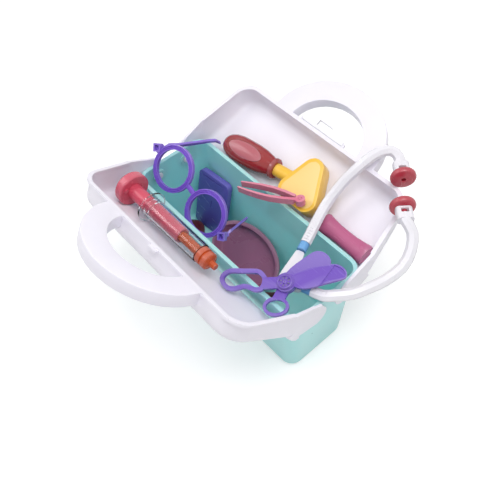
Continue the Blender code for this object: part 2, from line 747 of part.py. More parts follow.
def lid_ear(end):
    """Tongue that reaches down past the tub's end wall, with the band's end on its front edge."""
    corners = scaled(EAR_OUTLINE_SHARES, EAR_RADIUS, EAR_RADIUS)
    arc = [(EAR_RADIUS * math.cos(angle), EAR_RADIUS * math.sin(angle))
           for angle in (EAR_ARC_START + (EAR_ARC_END - EAR_ARC_START) * step / 8 for step in range(9))]
    ear = plate("ear", [corners[:2] + arc + corners[2:]], EAR_THICKNESS - 2 * EAR_INSET)
    stand_up = Matrix(((0, 0, 1, 0), (1, 0, 0, 0), (0, 1, 0, 0), (0, 0, 0, 1)))
    ear = moved(ear, shift(x=end * (EAR_INNER + EAR_THICKNESS / 2)) @ stand_up)
    band_low = corners[1][1]
    band = block("band", RIM_OVERHANG + EAR_THICKNESS / 2, RIM_HEIGHT, EAR_TOP + RIM_HEIGHT / 2 - band_low,
                 (end * (EAR_OUTER + RIM_OVERHANG / 2 - EAR_THICKNESS / 4),
                  MEETING_GAP + RIM_HEIGHT / 2 - PIVOT,
                  (EAR_TOP + RIM_HEIGHT / 2 + band_low) / 2))
    peg_length = PEG_LENGTH + EAR_THICKNESS / 2
    peg = rod("peg", PEG_RADIUS, peg_length,
              (end * (EAR_INNER + EAR_THICKNESS / 2 - peg_length / 2), 0.0, 0.0), "X")
    return [ear, band, peg]


def lid_handle():
    """Half ring standing on the top, with rounded edges and small ribs at its feet."""
    foot = LID_RISE - LID_WALL / 2
    below = LID_EDGE_ROUND
    outer = arch(HANDLE_OUTER_HALF, HANDLE_OUTER_RISE, LID_RISE, HANDLE_STEPS)
    inner = arch(HANDLE_OUTER_HALF - HANDLE_GRIP, HANDLE_OUTER_RISE - HANDLE_GRIP, LID_RISE, HANDLE_STEPS)
    outline = ([(HANDLE_OUTER_HALF, foot - below)] + outer + [(-HANDLE_OUTER_HALF, foot - below)]
               + [(HANDLE_GRIP - HANDLE_OUTER_HALF, foot - below)] + inner[::-1]
               + [(HANDLE_OUTER_HALF - HANDLE_GRIP, foot - below)])
    ring = soften(plate("handle", [outline], HANDLE_THICKNESS), HANDLE_ROUND, 3)
    ring = moved(ring, shift(y=MEETING_GAP + HANDLE_THICKNESS / 2 - PIVOT) @ turn(math.pi / 2, "X"))
    below_top = block("below", 3 * HANDLE_OUTER_HALF, 3 * HANDLE_THICKNESS, 2 * below,
                      (0.0, 0.0, foot - below))
    pieces = [combine(ring, below_top, "DIFFERENCE")]
    back = MEETING_GAP + HANDLE_THICKNESS - PIVOT
    for end in (-1, 1):
        for number in range(GUSSET_COUNT):
            from_middle = (number - (GUSSET_COUNT - 1) / 2) * GUSSET_PITCH
            place = end * (HANDLE_OUTER_HALF - HANDLE_GRIP / 2 + from_middle)
            outline = ((back - GUSSET_HEIGHT / 2, foot), (back + GUSSET_HEIGHT, foot),
                       (back + GUSSET_HEIGHT, LID_RISE + GUSSET_HEIGHT / 4),
                       (back, LID_RISE + GUSSET_HEIGHT),
                       (back - GUSSET_HEIGHT / 2, LID_RISE + GUSSET_HEIGHT))
            rib = plate("gusset", [outline], GUSSET_WIDTH)
            stand_up = Matrix(((0, 0, 1, place), (1, 0, 0, 0), (0, 1, 0, 0), (0, 0, 0, 1)))
            pieces.append(moved(rib, stand_up))
    return pieces


def build_lid(side):
    """One lid with its ears, pegs, rim band, handle and its half of the fastening."""
    lid = lid_shell()
    for extra in [lid_rim()] + lid_ear(-1) + lid_ear(1) + lid_handle():
        lid = combine(lid, extra, "UNION")
    if side < 0:
        low = LID_RISE - LID_WALL / 2
        catch = block("catch", CATCH_LENGTH, CATCH_THICKNESS, CATCH_HEIGHT + LID_WALL / 2,
                      (CATCH_X, CATCH_SETBACK + CATCH_THICKNESS / 2 - PIVOT,
                       low + (CATCH_HEIGHT + LID_WALL / 2) / 2))
        lid = combine(lid, catch, "UNION")
        lid = moved(lid, Matrix.Diagonal((1, -1, 1, 1)))
    else:
        for end in (-1, 1):
            lug_low = LID_RISE - LID_WALL / 2
            lug_high = LATCH_RISE + LATCH_THICKNESS / 2
            place = LATCH_CENTRE + end * (LATCH_LENGTH / 2 + LATCH_PLAY + LATCH_LUG / 2)
            lug = block("lug", LATCH_LUG, LATCH_THICKNESS, lug_high - lug_low,
                        (place, LATCH_DEPTH - PIVOT, (lug_high + lug_low) / 2))
            pin = rod("pin", LATCH_PIN_RADIUS, LATCH_PIN_LENGTH + LATCH_LUG / 2,
                      (place - end * (LATCH_PIN_LENGTH + LATCH_LUG / 2) / 2, LATCH_DEPTH - PIVOT,
                       LATCH_RISE),
                      "X", PIN_SIDES)
            lid = combine(combine(lid, lug, "UNION"), pin, "UNION")
    return lid


def build_latch():
    """Loop plate that turns on the rear lid's stubs and drops over the front lid's catch."""
    half = LATCH_LENGTH / 2
    outer = scaled(LATCH_OUTLINE_SHARES, half, LATCH_HEIGHT)
    window = scaled(LATCH_WINDOW_SHARES, half, LATCH_HEIGHT)
    loop = plate("latch", [outer, window], LATCH_THICKNESS)
    loop = moved(loop, turn(math.pi / 2, "X"))
    loop = combine(loop, rod("barrel", LATCH_THICKNESS / 2, 2 * half, axis="X", sides=PIN_SIDES), "UNION")
    for end in (-1, 1):
        bore = rod("bore", LATCH_PIN_RADIUS + LATCH_PLAY, 2 * (LATCH_PIN_LENGTH + LATCH_PLAY),
                   (end * half, 0.0, 0.0), "X", PIN_SIDES)
        loop = combine(loop, bore, "DIFFERENCE")
    return loop


def tray_point(side, rise, height):
    """Place in a lid's own frame, so far up the tray floor and so high above it."""
    along = Vector((LID_TOP_DEPTH - LID_FLOOR_DEPTH, LID_RISE - LID_FLOOR_LOW)).normalized()
    place = (Vector((LID_FLOOR_DEPTH, LID_FLOOR_LOW)) + along * (rise - LID_FLOOR_LOW)
             + Vector((-along.y, along.x)) * (LID_WALL + height))
    return side * (place.x - PIVOT), place.y


def tray_frame(side):
    """Axes of a tray: along the case, across the floor, and square to it towards the opening."""
    along = Vector((LID_TOP_DEPTH - LID_FLOOR_DEPTH, LID_RISE - LID_FLOOR_LOW)).normalized()
    out = Vector((0.0, -side * along.y, along.x))
    across = out.cross(Vector((1.0, 0.0, 0.0)))
    return Matrix((Vector((1.0, 0.0, 0.0)), across, out)).transposed()


def tray_carrier(name, side, parent, x, rise, height, spin=0.0):
    """Carrier of a toy lying in a tray."""
    y, z = tray_point(side, rise, height)
    return carrier(name, (x, y, z), tray_frame(side) @ Matrix.Rotation(spin, 3, "Z"), parent)


def lengthways(part):
    """Lay a part turned about Z along +X."""
    return moved(part, turn(math.pi / 2, "Y"))


def syringe_barrel():
    """Clear tube with rings at its mouth and a round finger flange."""
    inner = BARREL_RADIUS - BARREL_WALL
    ring = BARREL_RADIUS + BARREL_RING
    step = FLANGE_THICKNESS
    profile = [(inner, BARREL_LENGTH), (BARREL_RADIUS, BARREL_LENGTH)]
    for height in (BARREL_LENGTH - step, 4 * step, 2 * step):
        profile += [(BARREL_RADIUS, height), (ring, height - step / 4), (ring, height - 3 * step / 4),
                    (BARREL_RADIUS, height - step)]
    profile += [(FLANGE_RADIUS, step), (FLANGE_RADIUS, 0.0), (inner, 0.0)]
    return lengthways(turned("syringe_barrel", profile, PEG_SIDES, closed=True))


def syringe_plunger():
    """Hollow plunger with a thick thumb pad and two bumps on the pad's front."""
    front = PLUNGER_LENGTH - SYRINGE_OUT
    pad = -SYRINGE_OUT
    back = pad - PAD_THICKNESS
    profile = [(0.0, front - PLUNGER_BORE_DEPTH), (PLUNGER_BORE, front - PLUNGER_BORE_DEPTH),
               (PLUNGER_BORE, front), (PLUNGER_RADIUS, front), (PLUNGER_RADIUS, pad),
               (PAD_RADIUS - PAD_ROUND / 3, pad), (PAD_RADIUS, pad - PAD_ROUND / 3),
               (PAD_RADIUS, back + PAD_ROUND), (PAD_RADIUS - PAD_ROUND / 3, back + PAD_ROUND / 2),
               (PAD_RADIUS - PAD_ROUND, back + PAD_ROUND / 6), (PAD_RADIUS / 2, back), (0.0, back)]
    plunger = turned("syringe_plunger", profile, RING_STEPS)
    for end in (-1, 1):
        bump = rod("bump", PAD_BUMP, 2 * PAD_BUMP_HEIGHT, (0.0, end * PAD_BUMP_OUT, pad), sides=PIN_SIDES)
        plunger = combine(plunger, bump, "UNION")
    return lengthways(plunger)


def syringe_nozzle():
    """Tip, collar and the long guide rod inside the barrel, in one piece."""
    collar = BARREL_LENGTH + TOUCH_GAP
    plug = BARREL_RADIUS - BARREL_WALL - TOUCH_GAP
    collar_end = collar + NOZZLE_LENGTH
    tip = collar_end + NOZZLE_TIP_LENGTH
    profile = [(0.0, tip), (NOZZLE_TIP_RADIUS - NOZZLE_CHAMFER / 2, tip),
               (NOZZLE_TIP_RADIUS - NOZZLE_CHAMFER / 4, tip - NOZZLE_CHAMFER),
               (NOZZLE_TIP_RADIUS, collar_end + NOZZLE_CHAMFER),
               (NOZZLE_RADIUS - NOZZLE_CHAMFER, collar_end), (NOZZLE_RADIUS, collar_end - NOZZLE_CHAMFER),
               (NOZZLE_RADIUS, collar + NOZZLE_LENGTH / 2 + NOZZLE_CHAMFER),
               (NOZZLE_RADIUS - NOZZLE_CHAMFER, collar + NOZZLE_LENGTH / 2 + NOZZLE_CHAMFER / 2),
               (NOZZLE_RADIUS - NOZZLE_CHAMFER, collar + NOZZLE_LENGTH / 2 - NOZZLE_CHAMFER / 2),
               (NOZZLE_RADIUS, collar + NOZZLE_LENGTH / 2 - NOZZLE_CHAMFER), (NOZZLE_RADIUS, collar),
               (plug, collar), (plug, collar - PLUG_LENGTH), (ROD_RADIUS, collar - PLUG_LENGTH),
               (ROD_RADIUS, collar - ROD_LENGTH), (0.0, collar - ROD_LENGTH)]
    return lengthways(turned("syringe_nozzle", profile, PEG_SIDES))


def grip_body():
    """Bulging hammer grip, oval across."""
    profile = [(radius * GRIP_WIDTH / 2, share * GRIP_LENGTH) for share, radius in GRIP_PROFILE_SHARES[::-1]]
    body = lengthways(turned("hammer_grip", profile, RING_STEPS))
    return moved(body, Matrix.Diagonal((1.0, 1.0, GRIP_THICKNESS / GRIP_WIDTH, 1.0)))


def inlay_prism(inset, level):
    """Oval post standing above a level in the grip."""
    half = INLAY_LENGTH / 2
    outline = ellipse(half - inset, INLAY_WIDTH / 2 - inset, (INLAY_START + half, 0.0))
    prism = plate("prism", [outline], GRIP_WIDTH)
    return moved(prism, shift(z=level + GRIP_WIDTH / 2))


def hammer_grip():
    """Red grip with a sunk oval on top and a collar bored for the neck."""
    grip = combine(grip_body(), inlay_prism(0.0, INLAY_LEVEL), "DIFFERENCE")
    collar_profile = [(0.0, COLLAR_THICKNESS), (COLLAR_RADIUS - COLLAR_EDGE, COLLAR_THICKNESS),
                      (COLLAR_RADIUS, COLLAR_THICKNESS - COLLAR_EDGE), (COLLAR_RADIUS, COLLAR_EDGE),
                      (COLLAR_RADIUS - COLLAR_EDGE, 0.0), (0.0, 0.0)]
    collar = lengthways(turned("collar", collar_profile, PEG_SIDES))
    grip = combine(grip, moved(collar, shift(x=GRIP_LENGTH - COLLAR_EDGE)), "UNION")
    mouth = GRIP_LENGTH - COLLAR_EDGE + COLLAR_THICKNESS
    bore = rod("bore", SPIGOT_RADIUS + TOUCH_GAP, 2 * SPIGOT_LENGTH, (mouth, 0.0, 0.0), "X")
    return combine(grip, bore, "DIFFERENCE")


def hammer_head():
    """Yellow rounded wedge with bevelled edges, its neck and the spigot in the collar."""
    mouth = GRIP_LENGTH - COLLAR_EDGE + COLLAR_THICKNESS
    places = scaled(HEAD_CORNER_SHARES, HEAD_LENGTH, HEAD_LENGTH)
    corners = [(HEAD_CENTRE_OUT + x, y, HEAD_ROUND) for x, y in places]
    head = soften(plate("hammer_head", [rounded(corners, 6)], HEAD_THICKNESS), HEAD_EDGE, 2,
                  math.radians(60))
    neck_start = mouth + TOUCH_GAP
    neck_end = HEAD_CENTRE_OUT - HEAD_LENGTH / 4
    neck = rod("neck", NECK_RADIUS, neck_end - neck_start, ((neck_end + neck_start) / 2, 0.0, 0.0), "X")
    spigot_length = SPIGOT_LENGTH - TOUCH_GAP
    spigot = rod("spigot", SPIGOT_RADIUS, spigot_length + NECK_RADIUS,
                 (mouth - spigot_length / 2 + NECK_RADIUS / 2, 0.0, 0.0), "X")
    return join_all([head, neck, spigot])


def bandage_roll():
    """Waisted roll with flat oval ends."""
    profile = [(radius * ROLL_WIDTH / 2, share * ROLL_LENGTH) for share, radius in ROLL_PROFILE_SHARES[::-1]]
    roll = lengthways(turned("bandage_roll", profile, RING_STEPS))
    return moved(roll, Matrix.Diagonal((1.0, 1.0, ROLL_THICKNESS / ROLL_WIDTH, 1.0)))


def lens_ring():
    """Ring with two grooves round its front face."""
    top = LENS_RING_THICKNESS / 2
    inner = LENS_RING_RADIUS - LENS_RING_BAND
    profile = [(LENS_RING_RADIUS, top - GROOVE_DEPTH / 2), (LENS_RING_RADIUS, -top), (inner, -top),
               (inner, top)]
    for share in (1, 2):
        middle = inner + LENS_RING_BAND * share / 3
        profile += [(middle - GROOVE_WIDTH / 2, top), (middle, top - GROOVE_DEPTH),
                    (middle + GROOVE_WIDTH / 2, top)]
    profile.append((LENS_RING_RADIUS - GROOVE_DEPTH / 2, top))
    return turned("ring", profile, RING_STEPS, closed=True)


def hinge_frame(lean):
    """Axes of a temple hinge: x points back along the temple, z is the pivot."""
    pivot = Vector((0.0, math.cos(lean), math.sin(lean)))
    back = Vector((0.0, math.sin(lean), -math.cos(lean)))
    return Matrix((back, pivot.cross(back), pivot)).transposed()


def hinge_place(side):
    return Vector((side * (LENS_SPACING / 2 + HINGE_BLOCK_OUT), 0.0, -HINGE_BLOCK_DEPTH / 2 - CHEEK_SETBACK))


def glasses_frame():
    """Two lens rings, their bridge, and the end blocks with cheeks for the temples."""
    centre = LENS_SPACING / 2
    frame = moved(lens_ring(), shift(x=-centre))
    frame = combine(frame, moved(lens_ring(), shift(x=centre)), "UNION")
    gap = LENS_SPACING - 2 * LENS_RING_RADIUS
    bridge = block("bridge", gap + LENS_RING_BAND, BRIDGE_WIDTH, LENS_RING_THICKNESS - GROOVE_DEPTH,
                   (0.0, BRIDGE_RISE, -GROOVE_DEPTH / 2))
    frame = combine(frame, soften(bridge, BRIDGE_WIDTH / 6, 2), "UNION")
    for side, lean in ((-1, LEFT_LEAN), (1, RIGHT_LEAN)):
        out = centre + HINGE_BLOCK_OUT
        outline = [rectangle(HINGE_BLOCK / 2, HINGE_BLOCK / 2, HINGE_BLOCK / 12, steps=2),
                   rectangle(HINGE_SOCKET / 2, HINGE_SOCKET / 2, HINGE_SOCKET / 12, steps=2)]
        socket = moved(plate("block", outline, HINGE_BLOCK_DEPTH), turn(math.pi / 4, "Z"))
        frame = combine(frame, moved(socket, shift(x=side * out)), "UNION")
        for cheek in (-1, 1):
            height = cheek * (CHEEK_GAP / 2 + CHEEK_THICKNESS / 2)
            outline = rectangle(CHEEK_LENGTH / 2, CHEEK_WIDTH / 2, CHEEK_WIDTH / 3,
                                (-CHEEK_SETBACK / 2, 0.0))
            ear = plate("cheek", [outline], CHEEK_THICKNESS)
            ear = moved(ear, shift(z=height))
            place = Matrix.Translation(hinge_place(side)) @ hinge_frame(lean).to_4x4()
            frame = combine(frame, moved(ear, place), "UNION")
            bore = rod("bore", HINGE_PIN_RADIUS + HINGE_PIN_PLAY, 2 * CHEEK_THICKNESS, (0.0, 0.0, height),
                       sides=PIN_SIDES)
            frame = combine(frame, moved(bore, place), "DIFFERENCE")
    return frame


def temple(length):
    """Temple with a wide root, a slim arm and a bent tip; its pin turns in the cheeks."""
    stations = zip(TEMPLE_PLACE_SHARES, TEMPLE_DROP_SHARES)
    middle = [(share * length, -drop * TEMPLE_BEND) for share, drop in stations]
    upper = [(x, y + half) for (x, y), half in zip(middle, TEMPLE_HALF_WIDTHS)]
    lower = [(x, y - half) for (x, y), half in zip(middle, TEMPLE_HALF_WIDTHS)]
    blade = plate("temple", [upper + lower[::-1]], TEMPLE_THICKNESS)
    blade = moved(blade, turn(math.pi / 2, "X"))
    knuckle_height = CHEEK_GAP - 2 * TOUCH_GAP
    knuckle = rod("knuckle", TEMPLE_KNUCKLE, knuckle_height, sides=PIN_SIDES)
    pin = rod("pin", HINGE_PIN_RADIUS, CHEEK_GAP + 2 * CHEEK_THICKNESS, sides=PIN_SIDES)
    neck = block("neck", CHEEK_WIDTH, TEMPLE_NECK, knuckle_height, (CHEEK_WIDTH / 2, 0.0, 0.0))
    return join_all([blade, neck, knuckle, pin])


def tweezer_arm(way):
    """One curved arm from the knuckle to the tip, with its half of the knuckle."""
    spine = [(share * TWEEZER_LENGTH, way * bow * TWEEZER_SPREAD / 2) for share, bow in TWEEZER_ARC_SHARES]
    outer = [(x, y + way * TWEEZER_THICKNESS / 2 * width) for (x, y), width in zip(spine, TWEEZER_TAPER)]
    inner = [(x, y - way * TWEEZER_THICKNESS / 2 * width) for (x, y), width in zip(spine, TWEEZER_TAPER)]
    arm = plate("tweezer_arm", [outer + inner[::-1]], TWEEZER_HEIGHT)
    arm = moved(arm, shift(z=TWEEZER_HEIGHT / 2))
    half_height = TWEEZER_HEIGHT / 2 - TOUCH_GAP / 2
    level = half_height / 2 if way < 0 else TWEEZER_HEIGHT - half_height / 2
    eye = rod("eye", TWEEZER_KNUCKLE, half_height, (0.0, 0.0, level))
    link_x, link_y = TWEEZER_LINK_PLACE
    link = block("link", TWEEZER_LINK_LENGTH, TWEEZER_THICKNESS, half_height, (link_x, way * link_y, level))
    arm = join_all([arm, link, eye])
    if way < 0:
        pin = rod("pin", TWEEZER_PIN_RADIUS, TWEEZER_HEIGHT - half_height / 2,
                  (0.0, 0.0, (TWEEZER_HEIGHT + half_height / 2) / 2), sides=PIN_SIDES)
        return combine(arm, pin, "UNION")
    bore = rod("bore", TWEEZER_PIN_RADIUS + TOUCH_GAP, 3 * TWEEZER_HEIGHT, sides=PIN_SIDES)
    return combine(arm, bore, "DIFFERENCE")


def frame_along(way):
    """Axes whose Z runs along a slanting direction."""
    z = Vector(way).normalized()
    x = Vector((0.0, 0.0, 1.0)).cross(z).normalized()
    return Matrix((x, z.cross(x), z)).transposed().to_4x4()


def steth_arm(name, route, tip_place, tip_way):
    """Bent arm with slots near its root and a slotted fork at its ear end."""
    way = Vector(tip_way).normalized()
    back = EAR_TIP_THICKNESS / 2 + TOUCH_GAP + FORK_LENGTH
    fork_start = Vector(tip_place) - way * back
    path = smooth_path(list(route) + [tuple(fork_start), tuple(fork_start + way * FORK_LENGTH / 2)],
                       ARM_STEPS)
    arm = tube(name, path, ARM_RADIUS)
    fork = plate("fork", [rectangle(FORK_WIDTH / 2, FORK_THICKNESS / 2, FORK_THICKNESS / 3)], FORK_LENGTH)
    place = Matrix.Translation(fork_start + way * FORK_LENGTH / 2) @ frame_along(way)
    arm = combine(arm, moved(fork, place), "UNION")
    slot = block("slot", FORK_SLOT_LENGTH, 3 * FORK_THICKNESS, FORK_SLOT,
                 (0.0, 0.0, FORK_LENGTH / 2 - FORK_SLOT))
    arm = combine(arm, moved(slot, place), "DIFFERENCE")
    hole = rod("hole", SHANK_RADIUS + TOUCH_GAP, FORK_LENGTH, (0.0, 0.0, FORK_LENGTH / 2), sides=PIN_SIDES)
    arm = combine(arm, moved(hole, place), "DIFFERENCE")
    first, second = Vector(path[0]), Vector(path[ARM_STEPS])
    run = (second - first).normalized()
    for number in range(ARM_SLOT_COUNT):
        spot = first + run * (ARM_SLOT_START + number * ARM_SLOT_PITCH)
        groove = block("groove", 3 * ARM_RADIUS, 2 * ARM_SLOT_DEPTH, ARM_SLOT_WIDTH, (0.0, ARM_RADIUS, 0.0))
        arm = combine(arm, moved(groove, Matrix.Translation(spot) @ frame_along(run)), "DIFFERENCE")
    return arm


def sleeve(route):
    """Short round sleeve that joins an arm's root to the yoke."""
    first, second = (Vector(place) for place in smooth_path(route, ARM_STEPS)[:2])
    run = (first - second).normalized()
    start = first + run * TOUCH_GAP
    joint = rod("sleeve", SLEEVE_RADIUS, SLEEVE_LENGTH)
    return moved(joint, Matrix.Translation(start + run * SLEEVE_LENGTH / 2) @ frame_along(run))


def yoke():
    """Flat wedge that holds both arms, with the hose's stub underneath."""
    outline = [(x, y, YOKE_ROUND) for x, y in scaled(YOKE_OUTLINE_SHARES, YOKE_SIZE, YOKE_SIZE)]
    wedge = soften(plate("yoke", [rounded(outline, 3)], YOKE_THICKNESS), YOKE_EDGE)
    stub_middle = (STUB_LENGTH + YOKE_THICKNESS) / 2
    stub = rod("stub", STUB_RADIUS, STUB_LENGTH, (STUB_X, STUB_Y, -stub_middle + TOUCH_GAP))
    return combine(wedge, stub, "UNION")


def ear_tip():
    """Round ear pad with a hole in its face and a shank held in the fork; Z points out of the ear side."""
    half = EAR_TIP_THICKNESS / 2
    shank_end = -half - TOUCH_GAP - SHANK_LENGTH
    profile = [(0.0, half - EAR_TIP_BORE_DEPTH), (EAR_TIP_BORE, half - EAR_TIP_BORE_DEPTH),
               (EAR_TIP_BORE, half),
               (EAR_TIP_RADIUS - EAR_TIP_ROUND, half),
               (EAR_TIP_RADIUS - EAR_TIP_ROUND / 3, half - EAR_TIP_ROUND / 3),
               (EAR_TIP_RADIUS, half - EAR_TIP_ROUND), (EAR_TIP_RADIUS, EAR_TIP_ROUND - half),
               (EAR_TIP_RADIUS - EAR_TIP_ROUND / 3, EAR_TIP_ROUND / 3 - half),
               (EAR_TIP_RADIUS - EAR_TIP_ROUND, -half),
               (SHANK_RADIUS, -half), (SHANK_RADIUS, shank_end), (0.0, shank_end)]
    return turned("ear_tip", profile, PEG_SIDES)


def chest_piece():
    """Round chest piece with a stem for the hose."""
    half = CHEST_THICKNESS / 2
    profile = [(0.0, half), (CHEST_CROWN_RADIUS, half), (CHEST_RADIUS - CHEST_ROUND, half - CHEST_ROUND),
               (CHEST_RADIUS, half - 2 * CHEST_ROUND), (CHEST_RADIUS, CHEST_ROUND - half),
               (CHEST_RADIUS - CHEST_ROUND / 2, -half), (0.0, -half)]
    disc = turned("chest_piece", profile, RING_STEPS)
    stem_length = CHEST_STEM_LENGTH + CHEST_RADIUS / 4
    stem_middle = CHEST_RADIUS + CHEST_STEM_LENGTH - stem_length / 2
    stem = rod("stem", CHEST_STEM_RADIUS, stem_length, (stem_middle, 0.0, 0.0), "X")
    return combine(disc, stem, "UNION")


def smooth_loop(points, steps):
    """Closed Catmull-Rom outline through flat points."""
    outline = []
    count = len(points)
    for index in range(count):
        before, start, end, after = (Vector(points[(index + step) % count]) for step in (-1, 0, 1, 2))
        for step in range(steps):
            t = step / steps
            place = 0.5 * (2 * start + (end - before) * t + (2 * before - 5 * start + 4 * end - after) * t * t
                           + (3 * start - before - 3 * end + after) * t * t * t)
            outline.append((place.x, place.y))
    return outline


def inset_outline(outline, distance):
    """Closed outline moved inwards by a distance."""
    area = sum(x1 * y2 - x2 * y1 for (x1, y1), (x2, y2) in zip(outline, outline[1:] + outline[:1]))
    sign = math.copysign(1.0, area)
    inner = []
    for index, (x, y) in enumerate(outline):
        run = (Vector(outline[(index + 1) % len(outline)]) - Vector(outline[index - 1])).normalized()
        inner.append((x - sign * run.y * distance, y + sign * run.x * distance))
    return inner


def turned_ellipse(half_x, half_y, centre, angle):
    """Ellipse turned about its centre."""
    flat = [Matrix.Rotation(angle, 2) @ Vector(point) for point in ellipse(half_x, half_y)]
    return [(centre[0] + point.x, centre[1] + point.y) for point in flat]


def scissor_half(blade_shares, shank_share, ring, opening, layer):
    """Blade, hub and finger ring of one half, in its own layer."""
    blade = smooth_loop(scaled(blade_shares, SCISSOR_SIZE, SCISSOR_SIZE), 2)
    half = plate("scissor_half", [ellipse(SCISSOR_HUB_RADIUS, SCISSOR_HUB_RADIUS)], SCISSOR_THICKNESS)
    half = combine(half, plate("blade", [blade], SCISSOR_THICKNESS), "UNION")
    shank_end = Vector(scaled([shank_share], SCISSOR_SIZE, SCISSOR_SIZE)[0])
    across = Vector((-shank_end.y, shank_end.x)).normalized() * SCISSOR_SHANK / 2
    shank = [tuple(across), tuple(-across), tuple(shank_end - across), tuple(shank_end + across)]
    half = combine(half, plate("ring", [ring], SCISSOR_THICKNESS), "UNION")
    half = combine(half, plate("shank", [shank], SCISSOR_THICKNESS), "UNION")
    half = combine(half, plate("opening", [opening], 3 * SCISSOR_THICKNESS), "DIFFERENCE")
    pocket = plate("pocket", [inset_outline(blade[8:-4], BLADE_RIM)], 2 * BLADE_POCKET)
    half = combine(half, moved(pocket, shift(z=layer * SCISSOR_THICKNESS / 2)), "DIFFERENCE")
    bore = rod("bore", SCISSOR_PIN_RADIUS + TOUCH_GAP, 3 * SCISSOR_THICKNESS)
    half = combine(half, bore, "DIFFERENCE")
    return moved(half, shift(z=layer * (SCISSOR_THICKNESS + SCISSOR_GAP) / 2))


def loop_half():
    """Half with the long waisted finger loop, on top."""
    ring = smooth_loop(scaled(LOOP_SHARES, SCISSOR_SIZE, SCISSOR_SIZE), 2)
    return scissor_half(LOOP_BLADE_SHARES, LOOP_SHANK_SHARE, ring, inset_outline(ring, SCISSOR_BAR), 1)


def ring_half():
    """Half with the oval thumb ring, underneath."""
    centre = scaled([RING_PLACE_SHARES], SCISSOR_SIZE, SCISSOR_SIZE)[0]
    ring = turned_ellipse(RING_HALF_LENGTH, RING_HALF_WIDTH, centre, RING_TURN)
    opening = turned_ellipse(RING_HALF_LENGTH - RING_BAR, RING_HALF_WIDTH - RING_BAR, centre, RING_TURN)
    return scissor_half(RING_BLADE_SHARES, RING_SHANK_SHARE, ring, opening, -1)


def scissor_pin():
    """Rivet with a slotted cap."""
    top = SCISSOR_THICKNESS + SCISSOR_GAP / 2 + TOUCH_GAP
    bottom = -top
    crown = top + SCISSOR_CAP_HEIGHT
    profile = [(0.0, crown), (SCISSOR_CAP_RADIUS - SCISSOR_CAP_HEIGHT / 2, crown),
               (SCISSOR_CAP_RADIUS, crown - SCISSOR_CAP_HEIGHT / 2), (SCISSOR_CAP_RADIUS, top),
               (SCISSOR_PIN_RADIUS, top), (SCISSOR_PIN_RADIUS, bottom), (SCISSOR_FOOT_RADIUS, bottom),
               (SCISSOR_FOOT_RADIUS, bottom - SCISSOR_FOOT_HEIGHT), (0.0, bottom - SCISSOR_FOOT_HEIGHT)]
    pin = turned("scissor_pin", profile, RING_STEPS)
    for number in range(SCISSOR_SLOTS):
        slot = block("slot", SCISSOR_SLOT_LENGTH, SCISSOR_SLOT_WIDTH, SCISSOR_CAP_HEIGHT,
                     (SCISSOR_SLOT_PLACE, 0.0, crown))
        slot = moved(slot, turn(2 * math.pi * number / SCISSOR_SLOTS, "Z"))
        pin = combine(pin, slot, "DIFFERENCE")
    return pin


def dish():
    """Oval dish with a flat rim; Z is up from its open side."""
    half_length, half_width = DISH_LENGTH / 2, DISH_WIDTH / 2
    foot_length, foot_width = DISH_FLOOR_SHARE * half_length, DISH_FLOOR_SHARE * half_width
    levels = (
        (half_length, half_width, 0.0),
        (half_length - DISH_RIM, half_width - DISH_RIM, 0.0),
        (foot_length + DISH_FLOOR_ROUND, foot_width + DISH_FLOOR_ROUND,
         DISH_FLOOR_ROUND - DISH_DEPTH + DISH_WALL),
        (foot_length, foot_width, DISH_WALL - DISH_DEPTH))
    work = bmesh.new()
    rings = []
    for half_x, half_y, level in levels:
        rings.append([work.verts.new((x, y, level)) for x, y in ellipse(half_x, half_y, steps=DISH_STEPS)])
    for first, second in zip(rings, rings[1:]):
        for index in range(DISH_STEPS):
            following = (index + 1) % DISH_STEPS
            work.faces.new((first[index], first[following], second[following], second[index]))
    work.faces.new(rings[-1])
    bmesh.ops.recalc_face_normals(work, faces=work.faces)
    floor = [face for face in work.faces if len(face.verts) == DISH_STEPS][0]
    if floor.normal.z < 0:
        bmesh.ops.reverse_faces(work, faces=work.faces)
    shell = mesh_part("dish", work)
    walls = shell.modifiers.new("walls", "SOLIDIFY")
    walls.thickness = DISH_WALL
    walls.offset = -1
    return settle(shell)


def card_case():
    """Flat case with round corners, a bevelled edge, a line near its top and a slit."""
    outline = rectangle(CARD_WIDTH / 2, CARD_HEIGHT / 2, CARD_CORNER, (0.0, CARD_HEIGHT / 2))
    case_plate = plate("card_case", [outline], CARD_THICKNESS)
    case_plate = soften(case_plate, CARD_EDGE, 2, math.radians(60))
    case_plate = moved(case_plate, turn(math.pi / 2, "X"))
    front = -CARD_THICKNESS / 2
    line = block("line", CARD_WIDTH - 2 * CARD_CORNER, 2 * CARD_GROOVE, CARD_GROOVE,
                 (0.0, front, CARD_HEIGHT - CARD_GROOVE_DROP))
    case_plate = combine(case_plate, line, "DIFFERENCE")
    slit = block("slit", CARD_SLIT_WIDTH, 2 * CARD_GROOVE, CARD_SLIT_LENGTH, (0.0, front, CARD_HEIGHT / 2))
    return combine(case_plate, slit, "DIFFERENCE")


clear_scene()
case = open_collection("toy_doctor_case")

